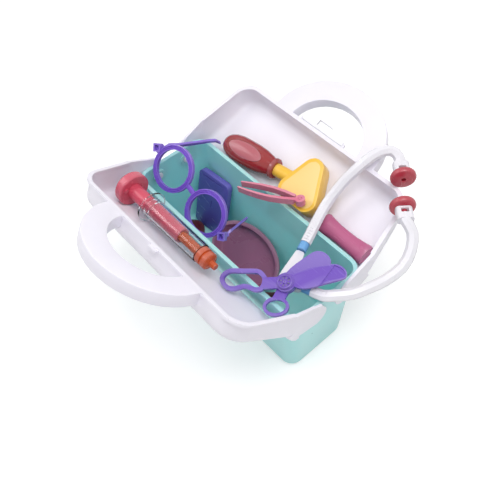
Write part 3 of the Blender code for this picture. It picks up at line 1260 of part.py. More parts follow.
# Plastics
mint = plastic("mint_plastic", (0.36, 0.66, 0.70), 0.38)
white = plastic("white_plastic", (0.86, 0.86, 0.86), 0.35)
coral = plastic("coral_plastic", (0.62, 0.13, 0.17), 0.35)
orange = plastic("orange_plastic", (0.55, 0.10, 0.02), 0.35)
clear = plastic("clear_plastic", (0.92, 0.94, 0.95), 0.12, 0.9)
red = plastic("red_plastic", (0.33, 0.02, 0.02), 0.18)
pink = plastic("pink_plastic", (0.70, 0.20, 0.28), 0.35)
yellow = plastic("yellow_plastic", (0.85, 0.55, 0.10), 0.35)
purple = plastic("purple_plastic", (0.17, 0.09, 0.48), 0.30)
indigo = plastic("indigo_plastic", (0.07, 0.06, 0.28), 0.35)
maroon = plastic("maroon_plastic", (0.20, 0.07, 0.12), 0.40)
tip_red = plastic("tip_red_plastic", (0.42, 0.03, 0.06), 0.35)
blue = plastic("blue_plastic", (0.08, 0.33, 0.62), 0.40)
hose_blue = plastic("hose_rubber", (0.03, 0.22, 0.32), 0.50)

# Tub and lids
finish(tub_shell(), "tub", mint)

hinge_height = TUB_HEIGHT - HINGE_DROP
front_hinge = carrier("front_lid_axis", (0.0, -PIVOT, hinge_height), Matrix.Rotation(FRONT_OPENING, 3, "X"))
rear_hinge = carrier("rear_lid_axis", (0.0, PIVOT, hinge_height), Matrix.Rotation(-REAR_OPENING, 3, "X"))
finish(build_lid(-1), "front_lid", white, front_hinge)
finish(build_lid(1), "rear_lid", white, rear_hinge)
latch_axis = carrier("latch_axis", (LATCH_CENTRE, LATCH_DEPTH - PIVOT, LATCH_RISE), parent=rear_hinge)
finish(build_latch(), "latch", white, latch_axis)

# Syringe
syringe_seat = tray_carrier("syringe_seat", -1, front_hinge, SYRINGE_MOUTH_X, SYRINGE_RISE,
                            PAD_RADIUS + TOUCH_GAP)
finish(syringe_barrel(), "syringe_barrel", clear, syringe_seat)
finish(syringe_nozzle(), "syringe_nozzle", orange, syringe_seat)
plunger_axis = carrier("plunger_axis", (0.0, 0.0, 0.0), parent=syringe_seat)
finish(syringe_plunger(), "syringe_plunger", coral, plunger_axis)

# Hammer
hammer_seat = tray_carrier("hammer_seat", 1, rear_hinge, HAMMER_X, HAMMER_RISE,
                           GRIP_THICKNESS / 2 + TOUCH_GAP,
                           HAMMER_TURN)
finish(hammer_grip(), "hammer_grip", red, hammer_seat)
inlay = combine(grip_body(), inlay_prism(TOUCH_GAP, INLAY_LEVEL + TOUCH_GAP), "INTERSECT")
finish(inlay, "hammer_inlay", pink, hammer_seat)
finish(hammer_head(), "hammer_head", yellow, hammer_seat)

# Bandage roll
roll_seat = tray_carrier("roll_seat", 1, rear_hinge, ROLL_X, ROLL_RISE, ROLL_THICKNESS / 2 + TOUCH_GAP)
finish(bandage_roll(), "bandage_roll", pink, roll_seat)

# Dish
dish_seat = carrier("dish_seat", DISH_PLACE, Matrix.Rotation(DISH_TILT, 3, "X"))
finish(dish(), "dish", maroon, dish_seat)

# Card case
card_tilt = Matrix.Rotation(CARD_TURN, 3, "Z") @ Matrix.Rotation(-CARD_LEAN, 3, "X")
card_seat = carrier("card_seat", CARD_PLACE, card_tilt)
finish(card_case(), "card_case", indigo, card_seat)

# Stethoscope
finish(steth_arm("upper_arm", UPPER_ARM_ROUTE, UPPER_TIP_PLACE, UPPER_TIP_WAY), "steth_upper_arm", white)
finish(steth_arm("lower_arm", LOWER_ARM_ROUTE, LOWER_TIP_PLACE, LOWER_TIP_WAY), "steth_lower_arm", white)
for name, place, way in (("upper", UPPER_TIP_PLACE, UPPER_TIP_WAY),
                         ("lower", LOWER_TIP_PLACE, LOWER_TIP_WAY)):
    seat = carrier(name + "_tip_seat", place, frame_along(way).to_3x3())
    finish(ear_tip(), "steth_" + name + "_ear_tip", tip_red, seat)
finish(sleeve(UPPER_ARM_ROUTE), "steth_upper_sleeve", blue)
finish(sleeve(LOWER_ARM_ROUTE), "steth_lower_sleeve", blue)
yoke_seat = carrier("yoke_seat", YOKE_PLACE)
finish(yoke(), "steth_yoke", white, yoke_seat)
finish(tube("hose", smooth_path(HOSE_ROUTE, HOSE_STEPS), HOSE_RADIUS), "steth_hose", hose_blue)
chest_seat = carrier("chest_seat", CHEST_PLACE, Matrix.Rotation(CHEST_TURN, 3, "Z"))
finish(chest_piece(), "steth_chest_piece", tip_red, chest_seat)

# Scissors
scissor_seat = carrier("scissor_seat", SCISSOR_PLACE, Matrix.Rotation(SCISSOR_TILT, 3, "X"))
finish(loop_half(), "scissor_loop_half", purple, scissor_seat)
finish(ring_half(), "scissor_ring_half", purple, scissor_seat)
finish(scissor_pin(), "scissor_pin", purple, scissor_seat)

# Glasses
across = Vector(GLASSES_ACROSS).normalized()
upward = (Vector(GLASSES_UP) - across * across.dot(Vector(GLASSES_UP))).normalized()
glasses_frame_axes = Matrix((across, upward, across.cross(upward))).transposed()
glasses_seat = carrier("glasses_seat", GLASSES_PLACE, glasses_frame_axes)
finish(glasses_frame(), "glasses_frame", purple, glasses_seat)
for name, side, lean, fold, length in (("left", -1, LEFT_LEAN, LEFT_FOLD, LEFT_TEMPLE_LENGTH),
                                       ("right", 1, RIGHT_LEAN, RIGHT_FOLD, RIGHT_TEMPLE_LENGTH)):
    axes = hinge_frame(lean) @ Matrix.Rotation(side * fold, 3, "Z")
    seat = carrier(name + "_temple_axis", hinge_place(side), axes, glasses_seat)
    finish(temple(length), "glasses_" + name + "_temple", purple, seat)

# Tweezers
tweezer_axes = Matrix.Rotation(TWEEZER_TURN, 3, "Z") @ Matrix.Rotation(TWEEZER_PITCH, 3, "Y")
tweezer_seat = carrier("tweezer_seat", TWEEZER_PLACE, tweezer_axes)
finish(tweezer_arm(-1), "tweezer_lower_arm", pink, tweezer_seat)
finish(tweezer_arm(1), "tweezer_upper_arm", pink, tweezer_seat)
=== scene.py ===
import math
import bpy
import bmesh
from mathutils import Matrix, Vector
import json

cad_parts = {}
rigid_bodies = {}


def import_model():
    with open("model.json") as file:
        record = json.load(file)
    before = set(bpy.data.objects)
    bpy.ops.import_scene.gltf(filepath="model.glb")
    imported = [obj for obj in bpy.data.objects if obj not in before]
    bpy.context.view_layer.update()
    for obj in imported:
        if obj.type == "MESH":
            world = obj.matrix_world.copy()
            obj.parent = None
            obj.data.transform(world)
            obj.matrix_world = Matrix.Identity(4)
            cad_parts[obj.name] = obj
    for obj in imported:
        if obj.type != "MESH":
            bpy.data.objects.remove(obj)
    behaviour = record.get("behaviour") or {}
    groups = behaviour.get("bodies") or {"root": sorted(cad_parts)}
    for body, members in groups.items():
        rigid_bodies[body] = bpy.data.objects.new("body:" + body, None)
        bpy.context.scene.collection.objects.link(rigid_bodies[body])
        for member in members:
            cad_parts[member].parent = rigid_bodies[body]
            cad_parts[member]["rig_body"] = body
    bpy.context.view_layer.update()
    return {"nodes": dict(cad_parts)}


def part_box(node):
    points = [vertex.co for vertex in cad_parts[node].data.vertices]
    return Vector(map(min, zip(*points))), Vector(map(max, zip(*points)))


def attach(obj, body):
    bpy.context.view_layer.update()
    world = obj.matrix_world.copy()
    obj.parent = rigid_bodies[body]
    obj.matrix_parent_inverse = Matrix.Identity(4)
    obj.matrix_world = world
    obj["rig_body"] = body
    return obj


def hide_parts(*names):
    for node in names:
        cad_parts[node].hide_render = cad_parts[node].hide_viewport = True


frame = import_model()

# Camera.
# The photographer stood over the front left corner of the open case and looked down
# into the tub, close enough that the near lid looks larger than the far one.
camera = bpy.data.objects.new("camera", bpy.data.cameras.new("camera"))
bpy.context.scene.collection.objects.link(camera)
bpy.context.scene.camera = camera
camera_place = (0.29515, -0.24377, 0.59167)
camera_roll = math.radians(-1.80)
camera_lens_mm = 44.742
look_back = Vector((0.4435, -0.3785, 0.8124)).normalized()
look_right = Vector((0.649, 0.760, 0.0))
look_right = (look_right - look_back * look_right.dot(look_back)).normalized()
look_up = look_back.cross(look_right)
frame_right = look_right * math.cos(camera_roll) + look_up * math.sin(camera_roll)
frame_up = look_up * math.cos(camera_roll) - look_right * math.sin(camera_roll)
camera.matrix_world = Matrix((
    (frame_right.x, frame_up.x, look_back.x, camera_place[0]),
    (frame_right.y, frame_up.y, look_back.y, camera_place[1]),
    (frame_right.z, frame_up.z, look_back.z, camera_place[2]),
    (0.0, 0.0, 0.0, 1.0),
))
camera.data.sensor_width = 36.0
camera.data.lens = camera_lens_mm
camera.data.clip_start = 0.01

# Stethoscope hose.
# A soft extruded rubber tube, plugged on the stub under the yoke. It drops into the tub
# and runs along the front wall to the chest piece, where it is pushed into the rim.
hose_stops = [
    Vector(point) for point in (
        (0.0830, -0.0190, 0.1072), (0.0825, -0.0193, 0.1000), (0.0790, -0.0212, 0.0900),
        (0.0700, -0.0255, 0.0790), (0.0540, -0.0305, 0.0690), (0.0300, -0.0330, 0.0580),
        (0.0000, -0.0325, 0.0430), (-0.0300, -0.0310, 0.0250), (-0.0520, -0.0260, 0.0130),
        (-0.0628, -0.0166, 0.0073), (-0.0720, -0.0120, 0.0070),
    )
]
hose_radius = 0.0033
steps_between_stops = 5
hose_line = []
for index in range(len(hose_stops) - 1):
    before = hose_stops[max(index - 1, 0)]
    here = hose_stops[index]
    after = hose_stops[index + 1]
    beyond = hose_stops[min(index + 2, len(hose_stops) - 1)]
    for step in range(steps_between_stops):
        share = step / steps_between_stops
        hose_line.append(0.5 * (
            2 * here + (after - before) * share
            + (2 * before - 5 * here + 4 * after - beyond) * share * share
            + (3 * here - before - 3 * after + beyond) * share ** 3
        ))
hose_line.append(hose_stops[-1])
hose_curve = bpy.data.curves.new("hose_tube", "CURVE")
hose_curve.dimensions = "3D"
# The thickness is set on the points, because a curve's box is measured with their radius.
hose_curve.bevel_depth = 1.0
hose_curve.bevel_resolution = 6
hose_curve.use_fill_caps = True
hose_spline = hose_curve.splines.new("POLY")
hose_spline.points.add(len(hose_line) - 1)
for point, place in zip(hose_spline.points, hose_line):
    point.co = (place.x, place.y, place.z, 1.0)
    point.radius = hose_radius
hose = bpy.data.objects.new("hose_tube", hose_curve)
bpy.context.scene.collection.objects.link(hose)
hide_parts("steth_hose")
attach(hose, "stethoscope")

# Tub.
# The lower half of the case, one thin pale teal moulding with a rounded lip, a hinge
# ear on each end wall, and the faint flow marks and fine grain of a polished steel mould.


def colour(code):
    """The linear colour of a screen colour, so that it renders about as it is written."""
    parts = [int(code[i:i + 2], 16) / 255 for i in (0, 2, 4)]
    return tuple(c / 12.92 if c <= 0.04045 else ((c + 0.055) / 1.055) ** 2.4 for c in parts) + (1.0,)


def moulded_surface():
    """The shared look of injection moulded plastic: flow marks, grain, scuffs, and paler convex edges
    that are a painted highlight.
    """
    # Near white, mixed into convex edges as a painted highlight.
    edge_highlight_white = (0.95, 0.94, 0.97, 1.0)
    flow_marks_per_metre = 26.0
    scratch_spread = (60.0, 900.0, 140.0)
    scratch_turn = (0.4, 0.3, 0.7)
    scratch_range = (0.62, 0.72)
    edge_range = (0.53, 0.62)
    cloudiness = 0.12
    scratch_depth = -0.5
    group = bpy.data.node_groups.new("moulded_surface", "ShaderNodeTree")
    for name, kind, value in (
        ("Colour", "NodeSocketColor", (0.8, 0.8, 0.8, 1.0)), ("Mottle", "NodeSocketFloat", 0.06),
        ("Gloss", "NodeSocketFloat", 0.3), ("Scuff", "NodeSocketFloat", 0.15),
        ("Grain Size", "NodeSocketFloat", 900.0), ("Edge Highlight", "NodeSocketFloat", 0.2),
    ):
        socket = group.interface.new_socket(name, in_out="INPUT", socket_type=kind)
        socket.default_value = value
    for name, kind in (
        ("Colour", "NodeSocketColor"), ("Roughness", "NodeSocketFloat"), ("Height", "NodeSocketFloat"),
    ):
        group.interface.new_socket(name, in_out="OUTPUT", socket_type=kind)
    nodes, links = group.nodes, group.links
    given = nodes.new("NodeGroupInput")
    result = nodes.new("NodeGroupOutput")
    place = nodes.new("ShaderNodeTexCoord")
    flow = nodes.new("ShaderNodeTexNoise")
    flow.inputs["Scale"].default_value = flow_marks_per_metre
    flow.inputs["Detail"].default_value = 4.0
    flow.inputs["Distortion"].default_value = 1.2
    links.new(place.outputs["Object"], flow.inputs["Vector"])
    grain = nodes.new("ShaderNodeTexNoise")
    grain.inputs["Detail"].default_value = 2.0
    links.new(place.outputs["Object"], grain.inputs["Vector"])
    links.new(given.outputs["Grain Size"], grain.inputs["Scale"])
    stretch = nodes.new("ShaderNodeMapping")
    stretch.inputs["Scale"].default_value = scratch_spread
    stretch.inputs["Rotation"].default_value = scratch_turn
    links.new(place.outputs["Object"], stretch.inputs["Vector"])
    scratch = nodes.new("ShaderNodeTexNoise")
    scratch.inputs["Scale"].default_value = 1.0
    scratch.inputs["Detail"].default_value = 3.0
    links.new(stretch.outputs["Vector"], scratch.inputs["Vector"])
    scratch_mask = nodes.new("ShaderNodeMapRange")
    scratch_mask.inputs["From Min"].default_value = scratch_range[0]
    scratch_mask.inputs["From Max"].default_value = scratch_range[1]
    links.new(scratch.outputs["Fac"], scratch_mask.inputs["Value"])
    # Convex edges, found by pointiness, are mixed towards near white: a painted highlight along the
    # edges.
    shape = nodes.new("ShaderNodeNewGeometry")
    edge_mask = nodes.new("ShaderNodeMapRange")
    edge_mask.inputs["From Min"].default_value = edge_range[0]
    edge_mask.inputs["From Max"].default_value = edge_range[1]
    links.new(shape.outputs["Pointiness"], edge_mask.inputs["Value"])
    mottle_low = nodes.new("ShaderNodeMath")
    mottle_low.operation = "SUBTRACT"
    mottle_low.inputs[1].default_value = 0.5
    links.new(flow.outputs["Fac"], mottle_low.inputs[0])
    mottle = nodes.new("ShaderNodeMath")
    mottle.operation = "MULTIPLY_ADD"
    mottle.inputs[2].default_value = 1.0
    links.new(mottle_low.outputs[0], mottle.inputs[0])
    links.new(given.outputs["Mottle"], mottle.inputs[1])
    tint = nodes.new("ShaderNodeVectorMath")
    tint.operation = "SCALE"
    links.new(given.outputs["Colour"], tint.inputs[0])
    links.new(mottle.outputs[0], tint.inputs["Scale"])
    edge_highlight = nodes.new("ShaderNodeMath")
    edge_highlight.operation = "MULTIPLY"
    links.new(edge_mask.outputs["Result"], edge_highlight.inputs[0])
    links.new(given.outputs["Edge Highlight"], edge_highlight.inputs[1])
    pale = nodes.new("ShaderNodeMix")
    pale.data_type = "RGBA"
    pale.inputs["B"].default_value = edge_highlight_white
    links.new(edge_highlight.outputs[0], pale.inputs["Factor"])
    links.new(tint.outputs["Vector"], pale.inputs["A"])
    links.new(pale.outputs["Result"], result.inputs["Colour"])
    scuffed = nodes.new("ShaderNodeMath")
    scuffed.operation = "MULTIPLY_ADD"
    links.new(scratch_mask.outputs["Result"], scuffed.inputs[0])
    links.new(given.outputs["Scuff"], scuffed.inputs[1])
    links.new(given.outputs["Gloss"], scuffed.inputs[2])
    cloudy = nodes.new("ShaderNodeMath")
    cloudy.operation = "MULTIPLY_ADD"
    cloudy.inputs[1].default_value = cloudiness
    links.new(mottle_low.outputs[0], cloudy.inputs[0])
    links.new(scuffed.outputs[0], cloudy.inputs[2])
    links.new(cloudy.outputs[0], result.inputs["Roughness"])
    scored = nodes.new("ShaderNodeMath")
    scored.operation = "MULTIPLY_ADD"
    scored.inputs[1].default_value = scratch_depth
    links.new(scratch_mask.outputs["Result"], scored.inputs[0])
    links.new(grain.outputs["Fac"], scored.inputs[2])
    links.new(scored.outputs[0], result.inputs["Height"])
    return group


moulded_group = moulded_surface()


def plastic(name, code, gloss, mottle=0.08, scuff=0.12, grain=900.0, relief=0.2, edge_highlight=0.12,
            **constants):
    """One moulded plastic: its colour and gloss through the shared surface, the rest on the shader."""
    material = bpy.data.materials.new(name)
    material.use_nodes = True
    nodes, links = material.node_tree.nodes, material.node_tree.links
    shader = nodes["Principled BSDF"]
    surface = nodes.new("ShaderNodeGroup")
    surface.node_tree = moulded_group
    surface.inputs["Colour"].default_value = colour(code)
    surface.inputs["Mottle"].default_value = mottle
    surface.inputs["Gloss"].default_value = gloss
    surface.inputs["Scuff"].default_value = scuff
    surface.inputs["Grain Size"].default_value = grain
    # The edge amount is the strength of the painted highlight along convex edges.
    surface.inputs["Edge Highlight"].default_value = edge_highlight
    links.new(surface.outputs["Colour"], shader.inputs["Base Color"])
    links.new(surface.outputs["Roughness"], shader.inputs["Roughness"])
    bump = nodes.new("ShaderNodeBump")
    bump.inputs["Strength"].default_value = relief
    bump.inputs["Distance"].default_value = 0.0001
    links.new(surface.outputs["Height"], bump.inputs["Height"])
    links.new(bump.outputs["Normal"], shader.inputs["Normal"])
    for socket, value in constants.items():
        shader.inputs[socket.replace("_", " ")].default_value = value
    return material


def moulding(node, material, sharp=32.0, panels=(), panel_material=None):
    """A node's own form, smooth where it is round, with its largest flat on a side pressed in."""
    same_point = 0.00002
    same_plane = 0.002
    facing = 0.998
    levels_per_metre = 4000
    mesh = frame["nodes"][node].data.copy()
    mesh.name = node + "_moulding"
    mesh.materials.clear()
    mesh.materials.append(material)
    if panel_material:
        mesh.materials.append(panel_material)
    shell = bmesh.new()
    shell.from_mesh(mesh)
    bmesh.ops.remove_doubles(shell, verts=shell.verts, dist=same_point)
    bmesh.ops.dissolve_limit(shell, angle_limit=same_plane, verts=shell.verts, edges=shell.edges)
    shell.normal_update()
    for way, border, depth in panels:
        levels = {}
        for face in shell.faces:
            if face.normal.dot(Vector(way)) > facing:
                level = round(face.verts[0].co.dot(Vector(way)) * levels_per_metre)
                levels.setdefault(level, []).append(face)
        flats = max(levels.values(), key=lambda faces: sum(face.calc_area() for face in faces))
        bmesh.ops.inset_region(shell, faces=flats, thickness=border, depth=depth,
                               use_even_offset=True)
        for face in flats:
            face.material_index = 1 if panel_material else 0
    shell.to_mesh(mesh)
    shell.free()
    if mesh.attributes.get("custom_normal"):
        mesh.attributes.remove(mesh.attributes["custom_normal"])
    mesh.shade_smooth()
    mesh.set_sharp_from_angle(angle=math.radians(sharp))
    piece = bpy.data.objects.new(node + "_moulding", mesh)
    bpy.context.scene.collection.objects.link(piece)
    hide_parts(node)
    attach(piece, frame["nodes"][node]["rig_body"])
    return piece


teal_plastic = plastic("teal_tub_plastic", "A6E2E2", 0.30, mottle=0.07,
                       Subsurface_Weight=0.6, Subsurface_Scale=0.006,
                       Subsurface_Radius=(0.7, 1.0, 1.0))
moulding("tub", teal_plastic)

# Card case.
# A flat closed box of glossy indigo plastic, stood on end against the rear wall of the tub.
# Its face shows the flow marks of the mould.
indigo_plastic = plastic("indigo_card_plastic", "6258B4", 0.25, mottle=0.12)
moulding("card_case", indigo_plastic)

# Lids.
# The two halves of the top, each one milky moulding with its half of the carrying handle.
# The plastic is natural polypropylene, so light goes some way into it.
milky_plastic = plastic("milky_lid_plastic", "ECE9F3", 0.34, mottle=0.05, edge_highlight=0.0,
                        Subsurface_Weight=0.3, Subsurface_Scale=0.003,
                        Subsurface_Radius=(1.0, 1.0, 1.0))
moulding("front_lid", milky_plastic)
moulding("rear_lid", milky_plastic)

# Latch.
# A small clip with a window, hooked by two pins on the rear lid's rim. It is of the lids'
# plastic, only a little brighter.
latch_plastic = plastic("milky_latch_plastic", "F1F0F5", 0.30, mottle=0.05, edge_highlight=0.0)
moulding("latch", latch_plastic)

# Syringe.
# A clear styrene barrel holds an orange plug with its rod, and a hollow coral plunger
# slides over the rod. The plunger ends in a round thumb pad with two screw bosses.
clear_styrene = plastic("clear_barrel_styrene", "F6FAFB", 0.03, mottle=0.0, scuff=0.06, relief=0.04,
                        edge_highlight=0.0, Transmission_Weight=1.0, IOR=1.36)
coral_plastic = plastic("coral_plunger_plastic", "CC4C62", 0.26)
orange_plastic = plastic("orange_nozzle_plastic", "BE4C18", 0.28)


def turned(name, material, foot, axis, side, rows, steps=72):
    """A piece turned round its axis from a closed profile of radius and distance along the axis."""
    shell = bmesh.new()
    across = axis.cross(side)
    loops = []
    for step in range(steps):
        turn = math.tau * step / steps
        out = side * math.cos(turn) + across * math.sin(turn)
        loops.append([shell.verts.new(foot + out * radius + axis * along) for radius, along in rows])
    for step in range(steps):
        this, following = loops[step], loops[(step + 1) % steps]
        for row in range(len(rows)):
            after = (row + 1) % len(rows)
            shell.faces.new((this[row], this[after], following[after], following[row]))
    bmesh.ops.recalc_face_normals(shell, faces=shell.faces)
    mesh = bpy.data.meshes.new(name)
    shell.to_mesh(mesh)
    shell.free()
    mesh.shade_smooth()
    mesh.set_sharp_from_angle(angle=math.radians(40))
    mesh.materials.append(material)
    piece = bpy.data.objects.new(name, mesh)
    bpy.context.scene.collection.objects.link(piece)
    return piece


barrel_foot = Vector((-0.0615, -0.063914, 0.129177))
barrel_axis = Vector((1.0, 0.0, 0.0))
tray_up = Vector((0.0, 0.59881, 0.80089))
barrel_profile = [
    (0.00840, 0.0000), (0.01540, 0.0000), (0.01578, 0.0004), (0.01578, 0.0020), (0.01540, 0.0024),
    (0.01020, 0.0024), (0.00980, 0.0030), (0.00980, 0.0066), (0.01060, 0.0072), (0.01060, 0.0082),
    (0.00980, 0.0088), (0.00980, 0.0755), (0.00950, 0.0770), (0.00840, 0.0770),
]
barrel = turned("clear_barrel", clear_styrene, barrel_foot, barrel_axis, tray_up, barrel_profile)
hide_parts("syringe_barrel")
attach(barrel, "syringe")
moulding("syringe_plunger", coral_plastic)
moulding("syringe_nozzle", orange_plastic)

# Reflex hammer.
# A glossy red handle with a pressed-in pink panel, and a yellow wedge head on its collar,
# paler where its flat sides are pressed in.
red_plastic = plastic("red_grip_plastic", "94191B", 0.10, Coat_Weight=0.5)
panel_plastic = plastic("pink_panel_plastic", "B3606A", 0.20)
yellow_plastic = plastic("yellow_head_plastic", "F0C040", 0.30)
moulding("hammer_grip", red_plastic)
moulding("hammer_inlay", panel_plastic)
panel_yellow = plastic("pale_yellow_panel_plastic", "F2D183", 0.30)
head_border, head_depth = 0.0030, -0.0006
moulding("hammer_head", yellow_plastic, panel_material=panel_yellow, panels=[
    ((0.0, -0.51181, 0.8591), head_border, head_depth),
    ((0.0, 0.51181, -0.8591), head_border, head_depth),
])

# Bandage roll.
# A pink moulded stand-in for a rolled bandage, lying in the rear tray. Its ends are paler
# and pressed in a little.
rose_plastic = plastic("rose_roll_plastic", "B85F86", 0.26)
light_rose_plastic = plastic("light_rose_end_plastic", "E88CB2", 0.30)
end_border, end_depth = 0.0006, -0.0003
moulding("bandage_roll", rose_plastic, panel_material=light_rose_plastic, panels=[
    ((1.0, 0.0, 0.0), end_border, end_depth), ((-1.0, 0.0, 0.0), end_border, end_depth),
])

# Dish.
# A shallow oval bowl in maroon plastic, leaning in the tub on its long edge. A step runs
# round its floor.
maroon_plastic = plastic("maroon_dish_plastic", "9A607F", 0.28)
moulding("dish", maroon_plastic, panels=[((0.0, -0.61566, 0.78801), 0.0040, -0.0007)])

# Stethoscope.
# Two stiff white tubes with round red ear tips, pushed into blue sleeves on a white yoke.
# The dark hose and the chest piece hang under the yoke.
arm_plastic = plastic("white_arm_plastic", "E6E4EA", 0.28, mottle=0.05, edge_highlight=0.0)
tip_plastic = plastic("red_tip_plastic", "B23142", 0.25)
blue_plastic = plastic("blue_sleeve_plastic", "4E9BD8", 0.28)
hose_rubber = plastic("dark_hose_rubber", "4A1418", 0.42, grain=1500.0)
chest_plastic = plastic("dark_red_chest_plastic", "571A20", 0.22)
hose.data.materials.append(hose_rubber)
for node, material in (
    ("steth_upper_arm", arm_plastic), ("steth_lower_arm", arm_plastic),
    ("steth_upper_ear_tip", tip_plastic), ("steth_lower_ear_tip", tip_plastic),
    ("steth_upper_sleeve", blue_plastic), ("steth_lower_sleeve", blue_plastic),
    ("steth_yoke", arm_plastic), ("steth_chest_piece", chest_plastic),
):
    moulding(node, material)

# Scissors.
# Two violet halves turning on a snapped-in pin, with a long loop and a small ring. The
# pin's cap has a low rim, a button and eight slots, the slots drawn as dark blocks of painted shade.
violet_plastic = plastic("violet_scissor_plastic", "6E4DB6", 0.24)
for node in ("scissor_loop_half", "scissor_ring_half", "scissor_pin"):
    moulding(node, violet_plastic)
# A dark violet that stands for the shade inside the pin's slots: painted shade.
slot_shade_plastic = plastic("painted_slot_shade_plastic", "3A2470", 0.40)
pivot_low, pivot_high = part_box("scissor_pin")
pivot_middle = (Vector(pivot_low) + Vector(pivot_high)) / 2
pivot_up = Vector((0.0, -0.25882, 0.96593))
pivot_side = Vector((1.0, 0.0, 0.0))
pivot_across = pivot_up.cross(pivot_side)
pin_points = [vertex.co - pivot_middle for vertex in frame["nodes"]["scissor_pin"].data.vertices]
pivot_crown = pivot_middle + pivot_up * max(point.dot(pivot_up) for point in pin_points)
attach(turned("scissor_pivot_rim", violet_plastic, pivot_crown, pivot_up, pivot_side, [
    (0.0070, -0.0004), (0.0069, 0.0005), (0.0065, 0.0010),
    (0.0060, 0.0011), (0.0055, 0.0008), (0.0053, -0.0004),
]), "scissors")
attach(turned("scissor_pivot_button", violet_plastic, pivot_crown, pivot_up, pivot_side, [
    (0.0018, -0.0003), (0.0017, 0.0003), (0.0012, 0.0006), (0.0005, 0.0007), (0.0004, -0.0003),
]), "scissors")
# The slots are dark blocks sunk almost flush in the cap: painted shade in place of recesses.
slot_count = 8
slot_reach = (0.0027, 0.0047)
slot_half_width = 0.00055
slot_levels = (-0.0002, 0.00006)
slots = bmesh.new()
for number in range(slot_count):
    turn = math.tau * (number + 0.5) / slot_count
    out = pivot_side * math.cos(turn) + pivot_across * math.sin(turn)
    along = pivot_up.cross(out)
    corners = [
        slots.verts.new(pivot_crown + out * radius + along * width + pivot_up * height)
        for radius in slot_reach for width in (-slot_half_width, slot_half_width)
        for height in slot_levels
    ]
    for face in ((0, 1, 3, 2), (4, 6, 7, 5), (0, 4, 5, 1), (2, 3, 7, 6), (0, 2, 6, 4), (1, 5, 7, 3)):
        slots.faces.new([corners[index] for index in face])
bmesh.ops.recalc_face_normals(slots, faces=slots.faces)
slot_mesh = bpy.data.meshes.new("scissor_pivot_slot_shade")
slots.to_mesh(slot_mesh)
slots.free()
slot_mesh.materials.append(slot_shade_plastic)
slot_piece = bpy.data.objects.new("scissor_pivot_slot_shade", slot_mesh)
bpy.context.scene.collection.objects.link(slot_piece)
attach(slot_piece, "scissors")

# Glasses.
# Round violet rims without lenses and two thin side pieces on snapped-in pins, all of one
# glossy plastic.
lilac_plastic = plastic("violet_glasses_plastic", "7C59CC", 0.22)
for node in ("glasses_frame", "glasses_left_temple", "glasses_right_temple"):
    moulding(node, lilac_plastic)

# Tweezers.
# Two thin pink arms that spring apart at a knuckle with a pin through it, all of one
# glossy plastic.
pink_plastic = plastic("pink_tweezer_plastic", "D56E8A", 0.26)
for node in ("tweezer_lower_arm", "tweezer_upper_arm"):
    moulding(node, pink_plastic)

# Floor and light.
# A white studio table and white air under soft, nearly shadowless light from above. Both are
# lifted to white where the camera, a reflection or the clear barrel sees them.
floor_mesh = bpy.data.meshes.new("studio_floor")
floor_reach = 3.0
floor_corners = [
    (x * floor_reach, y * floor_reach, 0.0) for x, y in ((-1, -1), (1, -1), (1, 1), (-1, 1))
]
floor_mesh.from_pydata(floor_corners, [], [(0, 1, 2, 3)])
floor = bpy.data.objects.new("studio_floor", floor_mesh)
bpy.context.scene.collection.objects.link(floor)
under_the_tub = 0.0004
floor.location.z = -under_the_tub
floor_white = bpy.data.materials.new("studio_white")
floor_white.use_nodes = True
floor_nodes, floor_links = floor_white.node_tree.nodes, floor_white.node_tree.links
floor_shader = floor_nodes["Principled BSDF"]
floor_grey = 0.80
floor_glow = 0.35
floor_shader.inputs["Base Color"].default_value = (floor_grey, floor_grey, floor_grey, 1.0)
floor_shader.inputs["Roughness"].default_value = 0.9
floor_shader.inputs["Specular IOR Level"].default_value = 0.0
floor_shader.inputs["Emission Color"].default_value = (1.0, 1.0, 1.0, 1.0)
ray = floor_nodes.new("ShaderNodeLightPath")
seen = floor_nodes.new("ShaderNodeMath")
seen.operation = "MAXIMUM"
floor_links.new(ray.outputs["Is Camera Ray"], seen.inputs[0])
floor_links.new(ray.outputs["Is Transmission Ray"], seen.inputs[1])
lift = floor_nodes.new("ShaderNodeMath")
lift.operation = "MULTIPLY"
lift.inputs[1].default_value = floor_glow
mirrored = floor_nodes.new("ShaderNodeMath")
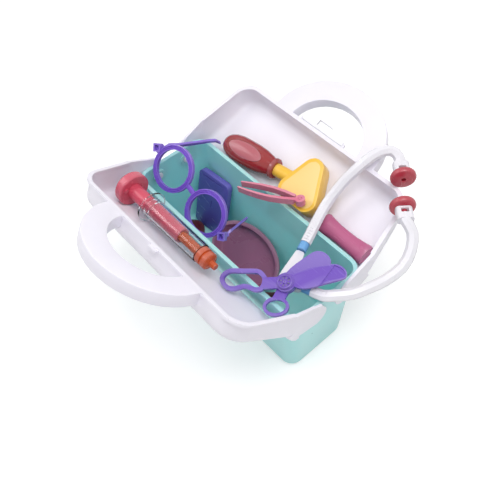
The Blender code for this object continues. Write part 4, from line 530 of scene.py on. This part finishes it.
mirrored.operation = "MAXIMUM"
floor_links.new(seen.outputs[0], mirrored.inputs[0])
floor_links.new(ray.outputs["Is Glossy Ray"], mirrored.inputs[1])
floor_links.new(mirrored.outputs[0], lift.inputs[0])
floor_links.new(lift.outputs[0], floor_shader.inputs["Emission Strength"])
floor.data.materials.append(floor_white)
lit_point = Vector((0.0, 0.0, 0.08))
for name, place, size, power in (
    ("overhead_softbox", (0.25, -0.05, 1.30), 0.7, 8.5),
    ("window_softbox", (-0.9, -0.5, 1.0), 0.6, 3.5),
    ("fill_softbox", (0.9, -0.9, 0.7), 0.8, 1.5),
):
    lamp = bpy.data.lights.new(name, "AREA")
    lamp.size = size
    lamp.energy = power
    holder = bpy.data.objects.new(name, lamp)
    bpy.context.scene.collection.objects.link(holder)
    holder.location = place
    holder.rotation_euler = (Vector(place) - lit_point).to_track_quat("Z", "Y").to_euler()
studio_air = bpy.data.worlds.new("studio_air")
bpy.context.scene.world = studio_air
studio_air.use_nodes = True
air_nodes, air_links = studio_air.node_tree.nodes, studio_air.node_tree.links
air = air_nodes["Background"]
air.inputs["Color"].default_value = (1.0, 1.0, 1.0, 1.0)
air_ray = air_nodes.new("ShaderNodeLightPath")
air_level = air_nodes.new("ShaderNodeMapRange")
air_level.inputs["To Min"].default_value = 0.50
air_level.inputs["To Max"].default_value = 1.0
air_seen = air_nodes.new("ShaderNodeMath")
air_seen.operation = "MAXIMUM"
air_links.new(air_ray.outputs["Is Camera Ray"], air_seen.inputs[0])
air_links.new(air_ray.outputs["Is Transmission Ray"], air_seen.inputs[1])
air_mirrored = air_nodes.new("ShaderNodeMath")
air_mirrored.operation = "MAXIMUM"
air_links.new(air_seen.outputs[0], air_mirrored.inputs[0])
air_links.new(air_ray.outputs["Is Glossy Ray"], air_mirrored.inputs[1])
air_links.new(air_mirrored.outputs[0], air_level.inputs["Value"])
air_links.new(air_level.outputs["Result"], air.inputs["Strength"])
bpy.context.scene.view_settings.view_transform = "Standard"

bpy.context.view_layer.update()
